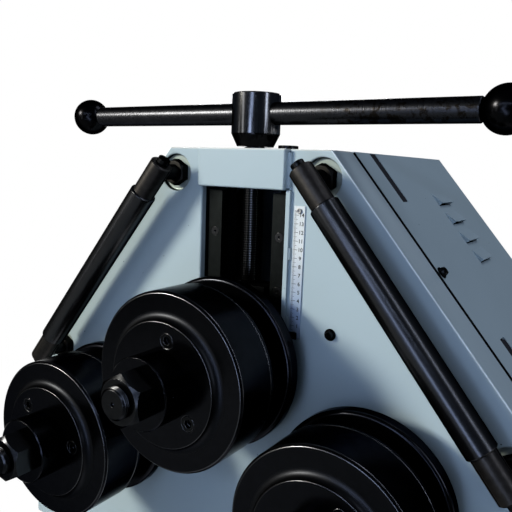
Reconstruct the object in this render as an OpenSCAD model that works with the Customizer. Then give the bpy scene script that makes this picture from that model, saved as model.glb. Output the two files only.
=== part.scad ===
// Three-roll angle roll bender on a floor stand.
// Millimetres, +Z up, the rolls face -Y. The origin is on the floor, midway between the anchor bolts.

/* [Housing] */
// Height of the front frame's top edge above the floor
top_height = 1250; // [1200:10:1350]
// Height of the housing, from its top edge down to the stand
housing_height = 610; // [590:10:680]
// Widest width of the housing
body_width = 800; // [780:10:880]
// Width of the housing's flat top
body_top_width = 232; // [226:2:250]
// Slope of the shoulders, in degrees from the vertical
shoulder_angle = 40; // [39:0.5:43]
// Depth of the housing, from the front face to the back
body_depth = 396; // [380:4:460]
// Depth of the front frame, up to the seam
frame_depth = 54; // [50:1:60]
// Thickness of the front frame's face
plate_thickness = 25; // [22:1:30]
// Thickness of the front frame's rim
rim_thickness = 12; // [11:0.5:16]
// Thickness of the sheet covers
cover_thickness = 3; // [2:0.5:4]
// Width of the open seam between the front frame and the covers
seam_gap = 2.5; // [0.5:0.5:4]

/* [Slide] */
// Width of the slot in the front frame
slot_width = 125; // [121:1:132]
// Height of the bridge block that closes the slot's top
bridge_height = 47; // [40:1:50]
// How far the bridge block stands out of the front face
bridge_proud = 10; // [4:1:20]
// Width of each gib
gib_width = 20; // [16:1:22]
// Thickness of each gib
gib_thickness = 13; // [11:1:15]
// Free width between the two gibs
gib_gap = 75; // [74:1:78]
// How far the gibs lie behind the front face
gib_setback = 9; // [8:1:12]
// Thickness of the ways behind the gibs
way_thickness = 24; // [20:1:30]
// Upward travel of the carriage
carriage_travel = 110; // [60:5:115]

/* [Spindle and handle] */
// Outside diameter of the spindle's thread
spindle_diameter = 27; // [24:1:29]
// How far the spindle's axis lies behind the front face
spindle_setback = 23.5; // [22:0.5:26]
// Diameter of the handle's hub
handle_hub_diameter = 60; // [54:1:70]
// Height of the hub's straight part
handle_hub_height = 48; // [40:1:60]
// Height of the cone under the hub
handle_cone_height = 15.5; // [8:0.5:24]
// Diameter of the cone's foot
handle_cone_diameter = 45; // [36:1:52]
// Free height between the bridge block and the hub at the bottom of the travel
handle_clearance = 2.5; // [1:0.5:8]
// Diameter of the handle's cross rod
rod_diameter = 27; // [22:1:32]
// Length of the cross rod
rod_length = 533; // [400:1:640]
// Diameter of the ball knobs
knob_diameter = 50; // [40:1:60]

/* [Scale] */
// Width of the scale
scale_width = 14; // [12:1:18]
// Length of the scale
scale_length = 155; // [120:1:170]
// Distance of the scale's centre line from the middle of the machine
scale_offset = 80; // [78:1:90]
// Drop from the frame's top edge to the scale's upper end
scale_drop = 64; // [55:1:80]

/* [Guide bars] */
// Diameter of the bars' middle
bar_diameter = 34; // [31:1:38]
// Diameter of the bars' turned ends
bar_end_diameter = 28.5; // [26:0.5:30]
// Length of the bars' middle
bar_middle_length = 286; // [200:1:300]
// Distance between the two studs of a bar
stud_spacing = 355; // [340:1:360]
// Slope of the bars, in degrees from the vertical
bar_angle = 39; // [37:0.5:40]
// How far the bar runs past each stud
bar_overhang = 13.5; // [12:0.5:18]
// Distance of the bars' axes from the front face
bar_standoff = 36.5; // [33:0.5:46]
// Diameter of the studs
stud_diameter = 20; // [16:1:22]
// Distance of the upper studs from the middle of the machine
stud_offset = 106; // [104:1:108]
// Drop from the frame's top edge to the upper studs
stud_drop = 32; // [31:0.5:34]
// Diameter of the pockets that hold the stud nuts
pocket_diameter = 47; // [42:1:48]
// Depth of the pockets
pocket_depth = 6; // [4:1:12]

/* [Rolls] */
// Diameter of the front rings
roll_diameter = 200; // [180:1:208]
// Diameter of the rear flanges
flange_diameter = 206; // [186:1:212]
// Drop from the frame's top edge to the top roll's axis, at the bottom of its travel
top_roll_drop = 254; // [250:1:256]
// Drop from the frame's top edge to the lower rolls' axes
lower_roll_drop = 372; // [370:1:380]
// Distance between the lower rolls' axes
lower_roll_spacing = 380; // [376:1:388]
// Gap between the front face and the rear flanges
roll_standoff = 27; // [20:1:40]
// Width of the rear flanges
flange_width = 20; // [12:1:30]
// Width of the groove that takes the leg of the angle
groove_width = 30; // [10:1:40]
// Diameter of the groove's floor
groove_diameter = 140; // [124:1:160]
// Width of the front rings
ring_width = 59; // [40:1:70]
// Diameter of the rings' raised hub
boss_diameter = 138; // [128:1:150]
// Height of the raised hub
boss_height = 9; // [4:1:16]
// Diameter of the clamp collars
collar_diameter = 78; // [72:1:82]
// Length of the clamp collars
collar_length = 34; // [24:1:50]
// Diameter of the shafts under the rolls
shaft_diameter = 50; // [48:0.5:51]
// Diameter of the thread on the shafts' front ends
thread_diameter = 33; // [27:1:38]
// Width of the shaft nuts across flats
nut_flats = 50; // [46:1:60]
// Thickness of the shaft nuts
nut_thickness = 26; // [18:1:32]
// How far the thread stands out of the nut
thread_overhang = 8; // [3:1:16]

/* [Drive] */
// Module of the gears
gear_module = 5; // [4.9:0.05:5.1]
// Teeth of each roll gear
gear_teeth = 54; // [54:1:55]
// Teeth of the drive pinion
pinion_teeth = 24; // [24:1:25]
// Width of the gears
gear_width = 40; // [25:1:44]
// Distance of the gears behind the front face
gear_setback = 110; // [104:1:114]
// Distance of the rear plate behind the front face
rear_plate_setback = 200; // [190:1:210]
// Thickness of the rear plate
rear_plate_thickness = 22; // [20:1:30]
// Diameter of the bars that tie the front frame to the rear plate
tie_diameter = 30; // [20:1:34]

/* [Stand] */
// Thickness of the floor plate
floor_plate_thickness = 12; // [8:1:20]
// Distance between the anchor bolts, side to side
anchor_spacing_x = 800; // [790:5:900]
// Distance between the anchor bolts, front to back
anchor_spacing_y = 396; // [390:2:500]
// Diameter of the anchor bolts' holes
anchor_hole_diameter = 18; // [12:1:22]
// Width of floor plate outside the anchor bolts' centres
anchor_margin = 20; // [15:1:30]
// How far the stand's walls lie inside the housing
stand_inset = 20; // [15:1:24]
// Thickness of the stand's walls
stand_wall = 4; // [3:0.5:6]

/* [Controls] */
// Width of the control box
box_width = 120; // [100:1:160]
// Height of the control box
box_height = 170; // [150:1:220]
// Depth of the control box
box_depth = 60; // [50:1:80]
// Distance of the control box from the middle of the machine
box_offset = 220; // [160:1:260]
// Drop from the stand's top to the control box's upper edge
box_drop = 90; // [40:1:200]
// Diameter of the emergency stop's button
stop_diameter = 40; // [30:1:48]
// Travel of the emergency stop's button
stop_travel = 5; // [3:0.5:6]
// Diameter of the direction switch's knob
switch_diameter = 42; // [30:1:52]

/* [Hidden] */
$fn = 64;
// Smoothness of curves in turned profiles
arc_steps = 6;
hex_sides = 6;

// Cuts run this far past the faces that they open
overrun = 1;
// Radial clearance of pieces that sit still in a bore
seat_clearance = 0.05;
// Radial clearance of shafts that turn in a bore
running_clearance = 0.06;
// Clearance of faces that slide or turn past each other
slide_clearance = 0.4;

// Paint and metal colours
paint = "#a9bac2";
paint_dark = "#8d9ea8";
black_steel = "#1b1c1f";
dark_steel = "#2d2b29";
bare_steel = "#9a9da0";
bronze = "#a97f45";
gear_steel = "#6f7275";
motor_blue = "#46586a";
box_grey = "#c3c7c7";
knob_black = "#101113";
signal_red = "#b3231d";

// Housing outline
plate_y = -body_depth / 2;
housing_z = top_height - housing_height;
body_half = body_width / 2;
top_half = body_top_width / 2;
lip_thickness = 6;
lip_length = 28;
lip_foot = 24;
foot_flange = 24;
rear_plate_inset = 32;

// Slide
slot_half = slot_width / 2;
gib_half_gap = gib_gap / 2;
way_front = gib_setback + gib_thickness;
way_back = way_front + way_thickness;
way_relief = 5;
way_opening = gib_gap + way_relief;
way_width = 60;
top_roll_z = top_height - top_roll_drop;
bridge_z = top_height - bridge_height;
carriage_below = 60;
retainer_thickness = 10;
travel_margin = 9;
carriage_above = top_roll_drop - bridge_height - carriage_travel - retainer_thickness - travel_margin;
carriage_flange_half_height = 55;
carriage_front_half_width = 57;
carriage_rear_half_width = 90;
carriage_proud = 8;
carriage_rear_thickness = 30;
carriage_boss_diameter = 92;
carriage_boss_length = 70;
carriage_rear_front = way_back + slide_clearance;
carriage_rear_back = carriage_rear_front + carriage_rear_thickness;
carriage_boss_back = carriage_rear_back + carriage_boss_length;
slot_floor_gap = 15;
slot_bottom_z = top_roll_z - carriage_below - slot_floor_gap;
gib_end_gap = 5;
gib_screw_drop = 104;
gib_screw_pitch = 66;
gib_screw_count = 4;
gib_screw_head = 12;
gib_screw_shank = 6;
gib_screw_grip = 14;
strip_width = 5.5;
strip_proud = 4;
weld_diameter = 6;
weld_length = 14;
weld_drops_share = [0.26, 0.55];
bush_wall = 5;
bush_length = 40;

// Spindle and its captive end
spindle_y = plate_y + spindle_setback;
spindle_journal = 18;
spindle_head = 30;
spindle_head_height = 20;
retainer_width = 64;
retainer_depth = 38;
retainer_split = 0.6;
carriage_top_z = top_roll_z + carriage_above;
hub_foot_z = top_height + handle_clearance;
hub_shoulder_z = hub_foot_z + handle_cone_height;
rod_z = hub_shoulder_z + handle_hub_height / 2;
hub_edge = 1.5;
spigot_diameter = 20;
spigot_top_gap = 4;
nut_wall = 8.5;
knob_flat_diameter = 20;
knob_stud_diameter = 10;
knob_stud_length = 16;
knob_rise = sqrt(knob_diameter * knob_diameter - knob_flat_diameter * knob_flat_diameter) / 2;
knob_centre = rod_length / 2 + knob_rise;
rod_edge = 1;
lock_screw_offset = 47;
lock_screw_head = 24;
lock_screw_head_height = 4.5;
lock_screw_shank = 16;
lock_screw_grip = 30;

// Scale and pointer
scale_thickness = 1.5;
scale_screw_head = 6;
scale_screw_head_height = 2;
scale_screw_shank = 3.5;
scale_screw_grip = 7;
scale_screw_margin = 5.5;
pointer_height = 8;
pointer_thickness = 2;
pointer_root = 12;
pointer_rise = 40;

// Guide bars
lower_stud_x = stud_offset + stud_spacing * sin(bar_angle);
lower_stud_z = top_height - stud_drop - stud_spacing * cos(bar_angle);
upper_stud_z = top_height - stud_drop;
stud_boss_diameter = 52;
stud_boss_length = 20;
stud_reach = 6;
stud_nut_flats_share = 1.5;
stud_nut_thickness = 12;
bar_edge = 1.5;
end_screw_head = 16;
end_screw_head_height = 7;
end_screw_shank = 8;
end_screw_grip = bar_overhang - stud_diameter / 2 - slide_clearance;
socket_share = 0.5;

// Rolls: distances in front of the front face, along a shaft
lower_roll_x = lower_roll_spacing / 2;
lower_roll_z = top_height - lower_roll_drop;
flange_front = roll_standoff + flange_width;
groove_front = flange_front + groove_width;
ring_front = groove_front + ring_width;
boss_front = ring_front + boss_height;
collar_front = boss_front + collar_length;
nut_front = collar_front + nut_thickness;
shaft_front = nut_front + thread_overhang;
collar_web = 7;
seat_front = collar_front - collar_web;
shoulder_diameter = 64;
ring_edge = 2.5;
flange_edge = 5;
seam_groove = 1;
seam_groove_setback = 5;
boss_fillet = boss_height;
boss_edge = 1;
groove_fillet = 3;
thread_edge = 2;
centre_hole = 5;
collar_hole_diameter = 6;
collar_hole_depth = 12;
collar_hole_setback = 8;
collar_hole_angle = 6;
nut_edge_share = 0.94;
screw_head = 16;
screw_head_height = 10;
screw_shank = 10;
screw_bite = 17;
screw_circle = 102;
screw_count = 3;
top_screw_angle = 80;
left_screw_angle = 128;
right_screw_angle = 62;
rear_journal_diameter = 45;
bearing_front_outer = 90;
bearing_rear_outer = 85;
bearing_width = 20;
bearing_lip = 4;
bearing_lip_diameter = 72;
key_width = 14;
key_height = 9;
key_depth = 5.5;
roll_key_length = 46;
gear_key_length = 60;
key_margin = 6;
shaft_tail = 6;
top_shaft_tail = 20;
lock_ring_diameter = 74;
lock_ring_width = 14;

// Drive train
pressure_angle = 20;
dedendum_share = 1.25;
gear_backlash = 0.6;
gear_hub_diameter = 84;
gear_hub_front = 5;
gear_distance = gear_module * (gear_teeth + pinion_teeth) / 2;
pinion_drop = sqrt(gear_distance * gear_distance - lower_roll_x * lower_roll_x);
pinion_z = lower_roll_z - pinion_drop;
pinion_shaft_diameter = 40;
pinion_nose = 10;
pinion_grip_share = 0.43;
pinion_hole_diameter = 64;
gearbox_width = 160;
gearbox_height = 160;
gearbox_boss_diameter = 90;
gearbox_boss_length = 12;
gearbox_back_gap = 19;
gearbox_depth = body_depth - cover_thickness - rear_plate_setback - rear_plate_thickness
    - gearbox_boss_length - gearbox_back_gap;
pinion_grip = gearbox_depth * pinion_grip_share;
motor_share = 0.9;
motor_diameter = gearbox_depth * motor_share;
motor_length = 210;
motor_flange_share = 0.97;
motor_flange_diameter = gearbox_depth * motor_flange_share;
motor_flange_thickness = 12;
motor_cowl_share = 0.857;
motor_cowl_diameter = gearbox_depth * motor_cowl_share;
motor_cowl_length = 44;
motor_box_size = 70;
motor_box_depth = 30;
tie_upper_x = 128;
tie_upper_drop = 112;
tie_lower_margin = 70;
tie_lower_rise = 60;

// Side covers
cover_front = frame_depth + seam_gap;
cover_back = body_depth - cover_thickness;
notch_setback = 103;
notch_width = 18;
notch_length = 75;
notch_pitch = 270;
louvre_setback = 230;
louvre_width = 53;
louvre_length = 20;
louvre_height = 6;
louvre_wall = 1.5;
louvre_pitch = 31.5;
louvre_count = 4;
louvre_drop = 65;
cover_washer = 14;
cover_washer_thickness = 1.4;
cover_screw_head = 10.5;
cover_screw_head_height = 5;
cover_screw_shank = 6;
cover_screw_grip = 7;
cover_screw_setback = 67;
cover_screw_drops = [172, 400];
side_screw_rise = 120;
panel_screw_offset = 126;
panel_screw_drop = 207;
panel_screw_grip = 14;

// Stand and controls
stand_half_x = body_half - stand_inset;
stand_half_y = body_depth / 2 - stand_inset;
stand_flange = 15;
stand_flange_thickness = 6;
box_wall = 3;
box_top_z = housing_z - box_drop;
box_y = -stand_half_y - box_depth;
stop_rise_share = 0.3;
switch_rise_share = 0.72;
stop_stem_diameter = 22;
stop_head_height = 14;
stop_collar_gap = 1;
switch_stem_diameter = 12;
switch_height = 22;
switch_grip_width = 12;
switch_base_height = 6;
stem_reach = 16;
gland_rise = 110;
gland_offset = -240;
gland_diameter = 25;
gland_flats = 30;
gland_length = 22;
gland_bore = 14;
gland_reach = 12;

// Outline of the housing, drawn in by an inset: the top corner and the shoulder of its right half
function house_corner(inset) =
    [top_half - inset * (1 - sin(shoulder_angle)) / cos(shoulder_angle), top_height - inset];
function house_shoulder(inset) =
    [body_half - inset,
     top_height - (inset + (body_half - inset - top_half) * cos(shoulder_angle)) / sin(shoulder_angle)];
function house_points(inset, floor_z) =
    let (c = house_corner(inset), s = house_shoulder(inset))
    [[-c.x, c.y], [c.x, c.y], [s.x, s.y], [s.x, floor_z], [-s.x, floor_z], [-s.x, s.y]];

// Points of an arc, from one angle to another
function arc(centre, radius, from, to) =
    [for (i = [0:arc_steps])
        let (a = from + (to - from) * i / arc_steps)
        centre + radius * [cos(a), sin(a)]];

// Outline of a spur gear with a tooth on +X; flanks run through the involute at root, pitch and tip
function involute_angle(base_r, r) = sqrt(r * r / (base_r * base_r) - 1) * 180 / PI - acos(base_r / r);
function gear_points(teeth) =
    let (pitch_r = gear_module * teeth / 2,
         base_r = pitch_r * cos(pressure_angle),
         radii = [pitch_r - dedendum_share * gear_module, pitch_r, pitch_r + gear_module],
         half_tooth = 90 / teeth - gear_backlash / 2 / pitch_r * 180 / PI,
         flank = [for (r = radii)
                  half_tooth + involute_angle(base_r, pitch_r) - involute_angle(base_r, max(r, base_r))])
    [for (i = [0:teeth - 1], side = [-1, 1], step = [0:2])
        let (level = side < 0 ? step : 2 - step,
             a = 360 * i / teeth + side * flank[level])
        radii[level] * [cos(a), sin(a)]];
// Turn of a roll gear that puts its gap on the pinion's tooth
function gear_turn(direction) =
    direction + 180 + direction * pinion_teeth / gear_teeth + 180 / gear_teeth;

// An XZ outline pushed back from a depth behind the front face
module upright(near, depth) {
    translate([0, plate_y + near + depth, 0])
        rotate([90, 0, 0])
            linear_extrude(depth) children();
}

// Local frame on the front face: +Z points out of the face, +Y points up
module out_of_face(x, z) {
    translate([x, plate_y, z]) rotate([90, 0, 0]) children();
}

// A turned piece on a shaft: radius and distance in front of the face
module turned(points) {
    rotate_extrude() polygon(points);
}

// A cylinder between two distances along its axis
module span(from, to, d) {
    translate([0, 0, from]) cylinder(d = d, h = to - from);
}

// A box between two corners
module block(low, high) {
    translate(low) cube(high - low);
}

// Both sides of the machine
module both_sides() {
    children();
    mirror([1, 0, 0]) children();
}

// Local frame on the right shoulder: +X runs down the slope, +Z points out of the cover
module on_shoulder(distance, setback) {
    translate([top_half + distance * sin(shoulder_angle), plate_y + setback,
               top_height - distance * cos(shoulder_angle)])
        rotate([0, 90 - shoulder_angle, 0]) children();
}

// Socket screw with its head on +Z
module cap_screw(head_d, head_h, shank_d, grip) {
    difference() {
        union() {
            span(0, head_h, head_d);
            span(-grip, 0, shank_d);
        }
        translate([0, 0, head_h * (1 - socket_share)])
            cylinder(d = shank_d, h = head_h, $fn = hex_sides);
    }
}

// Low screw with a bevelled head
module button_screw(head_d, head_h, shank_d, grip) {
    difference() {
        union() {
            span(0, head_h / 2, head_d);
            translate([0, 0, head_h / 2]) cylinder(d1 = head_d, d2 = shank_d + head_h / 2, h = head_h / 2);
            span(-grip, 0, shank_d);
        }
        translate([0, 0, head_h * (1 - socket_share)])
            cylinder(d = shank_d / 2, h = head_h, $fn = hex_sides);
    }
}

// Cover screw with its washer under the head
module washer_screw(grip) {
    span(0, cover_washer_thickness, cover_washer);
    translate([0, 0, cover_washer_thickness])
        button_screw(cover_screw_head, cover_screw_head_height, cover_screw_shank,
                     grip + cover_washer_thickness);
}

// Hexagon nut with a corner up and turned corners on its front
module hex_nut(flats, thickness, bore) {
    corner_d = flats / cos(180 / hex_sides);
    difference() {
        intersection() {
            rotate(180 / hex_sides) cylinder(d = corner_d, h = thickness, $fn = hex_sides);
            turned([[0, 0], [corner_d / 2, 0], [corner_d / 2, thickness - (corner_d - flats) / 2],
                    [flats * nut_edge_share / 2, thickness], [0, thickness]]);
        }
        translate([0, 0, -overrun]) cylinder(d = bore, h = thickness + 2 * overrun);
    }
}

// Places of the studs on the right half
module at_studs() {
    both_sides() {
        out_of_face(stud_offset, upper_stud_z) children();
        out_of_face(lower_stud_x, lower_stud_z) children();
    }
}

// Places of the gib screws
module at_gib_screws() {
    for (i = [0:gib_screw_count - 1]) {
        both_sides()
            out_of_face(gib_half_gap + gib_width / 2, top_height - gib_screw_drop - i * gib_screw_pitch)
                translate([0, 0, -gib_setback]) children();
    }
}

// Places of the scale's screws
module at_scale_screws() {
    for (drop = [scale_screw_margin, scale_length - scale_screw_margin]) {
        out_of_face(scale_offset, top_height - scale_drop - drop) children();
    }
}

// Places of the cover screws on the right cover's front edge
module at_right_cover_screws() {
    for (drop = cover_screw_drops) {
        on_shoulder(drop, cover_screw_setback) children();
    }
    translate([body_half, plate_y + cover_screw_setback, housing_z + side_screw_rise])
        rotate([0, 90, 0]) children();
}

module at_cover_screws() {
    both_sides() at_right_cover_screws() children();
}

module at_lower_rolls() {
    out_of_face(-lower_roll_x, lower_roll_z) children();
    out_of_face(lower_roll_x, lower_roll_z) children();
}

// Front frame: a deep-rimmed face with the slot, ways, stud bosses and bearing seats
module front_frame() {
    color(paint) difference() {
        union() {
            difference() {
                upright(0, frame_depth) polygon(house_points(0, housing_z));
                upright(plate_thickness, frame_depth)
                    polygon(house_points(rim_thickness, housing_z + rim_thickness));
            }
            upright(plate_thickness, frame_depth - plate_thickness + lip_length) difference() {
                polygon(house_points(cover_thickness, housing_z + lip_foot));
                polygon(house_points(cover_thickness + lip_thickness, housing_z));
            }
            both_sides()
                block([way_opening / 2, plate_y + way_front, slot_bottom_z],
                      [way_opening / 2 + way_width, plate_y + way_back, bridge_z]);
            at_studs() span(-plate_thickness - stud_boss_length, -plate_thickness, stud_boss_diameter);
        }
        block([-slot_half, plate_y - overrun, slot_bottom_z],
              [slot_half, plate_y + way_front, top_height + overrun]);
        block([-slot_half, plate_y - overrun, bridge_z],
              [slot_half, plate_y + way_back, top_height + overrun]);
        block([-way_opening / 2, plate_y, slot_bottom_z],
              [way_opening / 2, plate_y + way_back + overrun, bridge_z]);
        at_studs() {
            span(-pocket_depth, overrun, pocket_diameter);
            span(-plate_thickness - stud_boss_length - overrun, 0, stud_diameter + 2 * seat_clearance);
        }
        at_lower_rolls() {
            span(-plate_thickness - overrun, -bearing_lip, bearing_front_outer + 2 * seat_clearance);
            span(-plate_thickness, overrun, bearing_lip_diameter);
        }
        at_gib_screws() span(-gib_thickness - gib_screw_grip, 0, gib_screw_shank + 2 * seat_clearance);
        at_scale_screws() span(-scale_screw_grip, overrun, scale_screw_shank + 2 * seat_clearance);
        at_cover_screws() span(-cover_thickness - lip_thickness - overrun, 0,
                               cover_screw_shank + 2 * seat_clearance);
        out_of_face(panel_screw_offset, top_height - panel_screw_drop)
            span(-panel_screw_grip, overrun, cover_screw_shank + 2 * seat_clearance);
    }
}

// Bridge block across the top of the slot, bored for the spindle's nut
module bridge_block() {
    color(paint) difference() {
        block([-slot_half, plate_y - bridge_proud, bridge_z], [slot_half, plate_y + way_back, top_height]);
        translate([0, spindle_y, 0])
            span(bridge_z - overrun, top_height + overrun,
                 spindle_diameter + 2 * (nut_wall + seat_clearance));
        translate([lock_screw_offset, spindle_y, top_height])
            span(-lock_screw_grip, overrun, lock_screw_shank + 2 * seat_clearance);
    }
}

// Gibs: strips on the ways that keep the carriage in the slot
module slide_gibs() {
    color(black_steel) difference() {
        both_sides()
            block([gib_half_gap, plate_y + gib_setback, slot_bottom_z + gib_end_gap],
                  [gib_half_gap + gib_width, plate_y + way_front, bridge_z - gib_end_gap]);
        at_gib_screws() gib_screw(seat_clearance);
    }
}

// Countersunk screw of a gib, grown by a clearance to cut its seat
module gib_screw(clearance) {
    span(-gib_thickness - gib_screw_grip, clearance, gib_screw_shank + 2 * clearance);
    translate([0, 0, -(gib_screw_head - gib_screw_shank) / 2])
        cylinder(d1 = gib_screw_shank + 2 * clearance, d2 = gib_screw_head + 2 * clearance,
                 h = (gib_screw_head - gib_screw_shank) / 2);
}

module gib_screws() {
    color(dark_steel) at_gib_screws() difference() {
        gib_screw(0);
        translate([0, 0, -gib_screw_shank * socket_share])
            cylinder(d = gib_screw_shank * socket_share, h = gib_screw_shank, $fn = hex_sides);
    }
}

// Strip along the slot's right edge, with its stitch welds
module slot_edge_strip() {
    color(paint) {
        block([slot_half, plate_y - strip_proud, slot_bottom_z],
              [slot_half + strip_width, plate_y, bridge_z]);
        intersection() {
            for (share = weld_drops_share) {
                translate([slot_half + strip_width, plate_y, bridge_z - share * (bridge_z - slot_bottom_z)])
                    span(-weld_length / 2, weld_length / 2, weld_diameter);
            }
            block([slot_half, plate_y - strip_proud, slot_bottom_z],
                  [slot_half + strip_width + weld_diameter, plate_y, bridge_z]);
        }
    }
}

// Centimetre scale, 0 at the bottom of the travel
module scale_plate() {
    color("#e9ebec") difference() {
        translate([scale_offset, plate_y, top_height - scale_drop])
            block([-scale_width / 2, -scale_thickness, -scale_length], [scale_width / 2, 0, 0]);
        at_scale_screws() span(-overrun, scale_thickness + overrun, scale_screw_shank + 2 * seat_clearance);
    }
}

module scale_screws() {
    color(bare_steel) at_scale_screws() translate([0, 0, scale_thickness])
        cap_screw(scale_screw_head, scale_screw_head_height, scale_screw_shank, scale_screw_grip);
}

// Screw on the bridge block, to the right of the spindle
module lock_screw() {
    color(dark_steel) translate([lock_screw_offset, spindle_y, top_height])
        cap_screw(lock_screw_head, lock_screw_head_height, lock_screw_shank, lock_screw_grip);
}

// Bronze nut in the bridge block
module spindle_nut() {
    color(bronze) translate([0, spindle_y, 0]) difference() {
        span(bridge_z, top_height, spindle_diameter + 2 * nut_wall);
        span(bridge_z - overrun, top_height + overrun, spindle_diameter + 2 * running_clearance);
    }
}

// Local frame of the right guide bar: +Z runs up the bar from the middle between its studs
module on_bar() {
    translate([(stud_offset + lower_stud_x) / 2, plate_y - bar_standoff, (upper_stud_z + lower_stud_z) / 2])
        rotate([0, -bar_angle, 0]) children();
}

// Guide bars for side guides: a round bar with turned ends on two studs
module guide_bars() {
    end_reach = stud_spacing / 2 + bar_overhang;
    color(black_steel) difference() {
        both_sides() on_bar() turned([
            [0, -end_reach], [bar_end_diameter / 2 - bar_edge, -end_reach],
            [bar_end_diameter / 2, -end_reach + bar_edge], [bar_end_diameter / 2, -bar_middle_length / 2],
            [bar_diameter / 2 - bar_edge, -bar_middle_length / 2],
            [bar_diameter / 2, -bar_middle_length / 2 + bar_edge],
            [bar_diameter / 2, bar_middle_length / 2 - bar_edge],
            [bar_diameter / 2 - bar_edge, bar_middle_length / 2],
            [bar_end_diameter / 2, bar_middle_length / 2], [bar_end_diameter / 2, end_reach - bar_edge],
            [bar_end_diameter / 2 - bar_edge, end_reach], [0, end_reach]]);
        at_studs() span(0, bar_standoff + stud_reach + seat_clearance, stud_diameter + 2 * seat_clearance);
        at_bar_ends() span(-end_screw_grip, overrun, end_screw_shank + 2 * seat_clearance);
    }
}

// Places on the bars' end faces, with +Z out of the face
module at_bar_ends() {
    both_sides() on_bar() for (turn = [0, 180]) {
        rotate([turn, 0, 0]) translate([0, 0, stud_spacing / 2 + bar_overhang]) children();
    }
}

module bar_studs() {
    color(dark_steel) at_studs()
        span(-plate_thickness - stud_boss_length, bar_standoff + stud_reach, stud_diameter);
}

module bar_nuts() {
    color(dark_steel) at_studs() translate([0, 0, -pocket_depth])
        hex_nut(stud_diameter * stud_nut_flats_share, stud_nut_thickness,
                stud_diameter + 2 * seat_clearance);
}

module bar_end_screws() {
    color(dark_steel) at_bar_ends()
        cap_screw(end_screw_head, end_screw_head_height, end_screw_shank, end_screw_grip);
}

// Bearings of the lower shafts, in the front frame and in the rear plate
module roll_shaft_bearings() {
    color(bare_steel) at_lower_rolls() {
        difference() {
            span(-bearing_lip - bearing_width, -bearing_lip, bearing_front_outer);
            span(-plate_thickness - bearing_width, 0, shaft_diameter + 2 * running_clearance);
        }
        difference() {
            span(-rear_plate_setback - bearing_width, -rear_plate_setback, bearing_rear_outer);
            span(-rear_plate_setback - 2 * bearing_width, 0, rear_journal_diameter + 2 * running_clearance);
        }
    }
}

// Rear plate: carries the shafts' back bearings and the gearbox
module rear_plate() {
    color(paint_dark) difference() {
        upright(rear_plate_setback, rear_plate_thickness) polygon(house_points(rear_plate_inset, housing_z));
        at_lower_rolls()
            span(-rear_plate_setback - rear_plate_thickness - overrun, 0,
                 bearing_rear_outer + 2 * seat_clearance);
        out_of_face(0, pinion_z)
            span(-rear_plate_setback - rear_plate_thickness - overrun, 0, pinion_hole_diameter);
    }
}

module tie_bars() {
    color(dark_steel) both_sides() {
        out_of_face(tie_upper_x, top_height - tie_upper_drop)
            span(-rear_plate_setback, -plate_thickness, tie_diameter);
        out_of_face(body_half - tie_lower_margin, housing_z + tie_lower_rise)
            span(-rear_plate_setback, -plate_thickness, tie_diameter);
    }
}

// Right side cover: folded sheet down the shoulder and the side, with notches and louvres
module side_cover() {
    c = house_corner(cover_thickness);
    s = house_shoulder(cover_thickness);
    difference() {
        union() {
            upright(cover_front, cover_back - cover_front) polygon([
                [top_half, top_height], house_shoulder(0), [body_half, housing_z],
                [body_half - foot_flange, housing_z], [body_half - foot_flange, housing_z + cover_thickness],
                [s.x, housing_z + cover_thickness], s, c]);
            at_louvres() louvre_hood();
        }
        at_louvres() louvre_hollow();
        for (i = [0:1]) {
            on_shoulder(i * notch_pitch, notch_setback)
                block([-overrun * 2, 0, -2 * cover_thickness], [notch_length, notch_width, cover_thickness]);
        }
        at_right_cover_screws() span(-2 * cover_thickness, overrun, cover_screw_shank + 2 * seat_clearance);
    }
}

module at_louvres() {
    for (i = [0:louvre_count - 1]) {
        on_shoulder(louvre_drop + i * louvre_pitch, louvre_setback) children();
    }
}

// Hood of a louvre, open down the slope
module louvre_hood() {
    translate([0, louvre_width, 0]) rotate([90, 0, 0])
        linear_extrude(louvre_width)
            polygon([[0, -cover_thickness / 2], [0, 0], [louvre_length, louvre_height],
                     [louvre_length, -cover_thickness / 2]]);
}

// Hollow under the hood, through the sheet
module louvre_hollow() {
    translate([0, louvre_width - louvre_wall, 0]) rotate([90, 0, 0])
        linear_extrude(louvre_width - 2 * louvre_wall)
            polygon([[2 * louvre_wall, -2 * cover_thickness], [2 * louvre_wall, 0],
                     [louvre_length + overrun, louvre_height - louvre_wall],
                     [louvre_length + overrun, -2 * cover_thickness]]);
}

module right_side_cover() {
    color(paint_dark) side_cover();
}

module left_side_cover() {
    color(paint_dark) mirror([1, 0, 0]) side_cover();
}

// Folded sheet over the top and down the back
module top_back_cover() {
    c = house_corner(cover_thickness);
    color(paint_dark) {
        upright(cover_front, cover_back - cover_front)
            polygon([[-top_half, top_height], [top_half, top_height], c, [-c.x, c.y]]);
        upright(cover_back, cover_thickness) polygon(house_points(0, housing_z));
    }
}

// Black screws and washers of the covers, and the one on the front face
module cover_screws() {
    color(black_steel) {
        at_cover_screws() washer_screw(cover_screw_grip);
        out_of_face(panel_screw_offset, top_height - panel_screw_drop) washer_screw(panel_screw_grip);
    }
}

// Sheet-steel stand under the housing
module base_cabinet() {
    inner = [stand_half_x - stand_wall, stand_half_y - stand_wall];
    mouth = [stand_half_x - stand_flange, stand_half_y - stand_flange];
    color(paint_dark) difference() {
        block([-stand_half_x, -stand_half_y, floor_plate_thickness],
              [stand_half_x, stand_half_y, housing_z]);
        block([-inner.x, -inner.y, floor_plate_thickness + stand_flange_thickness],
              [inner.x, inner.y, housing_z - stand_flange_thickness]);
        block([-mouth.x, -mouth.y, floor_plate_thickness - overrun],
              [mouth.x, mouth.y, housing_z + overrun]);
        control_stems(2 * stand_wall);
        translate([gland_offset, stand_half_y, gland_rise])
            rotate([90, 0, 0]) span(-overrun, 2 * stand_wall, gland_diameter + 2 * seat_clearance);
    }
}

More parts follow.
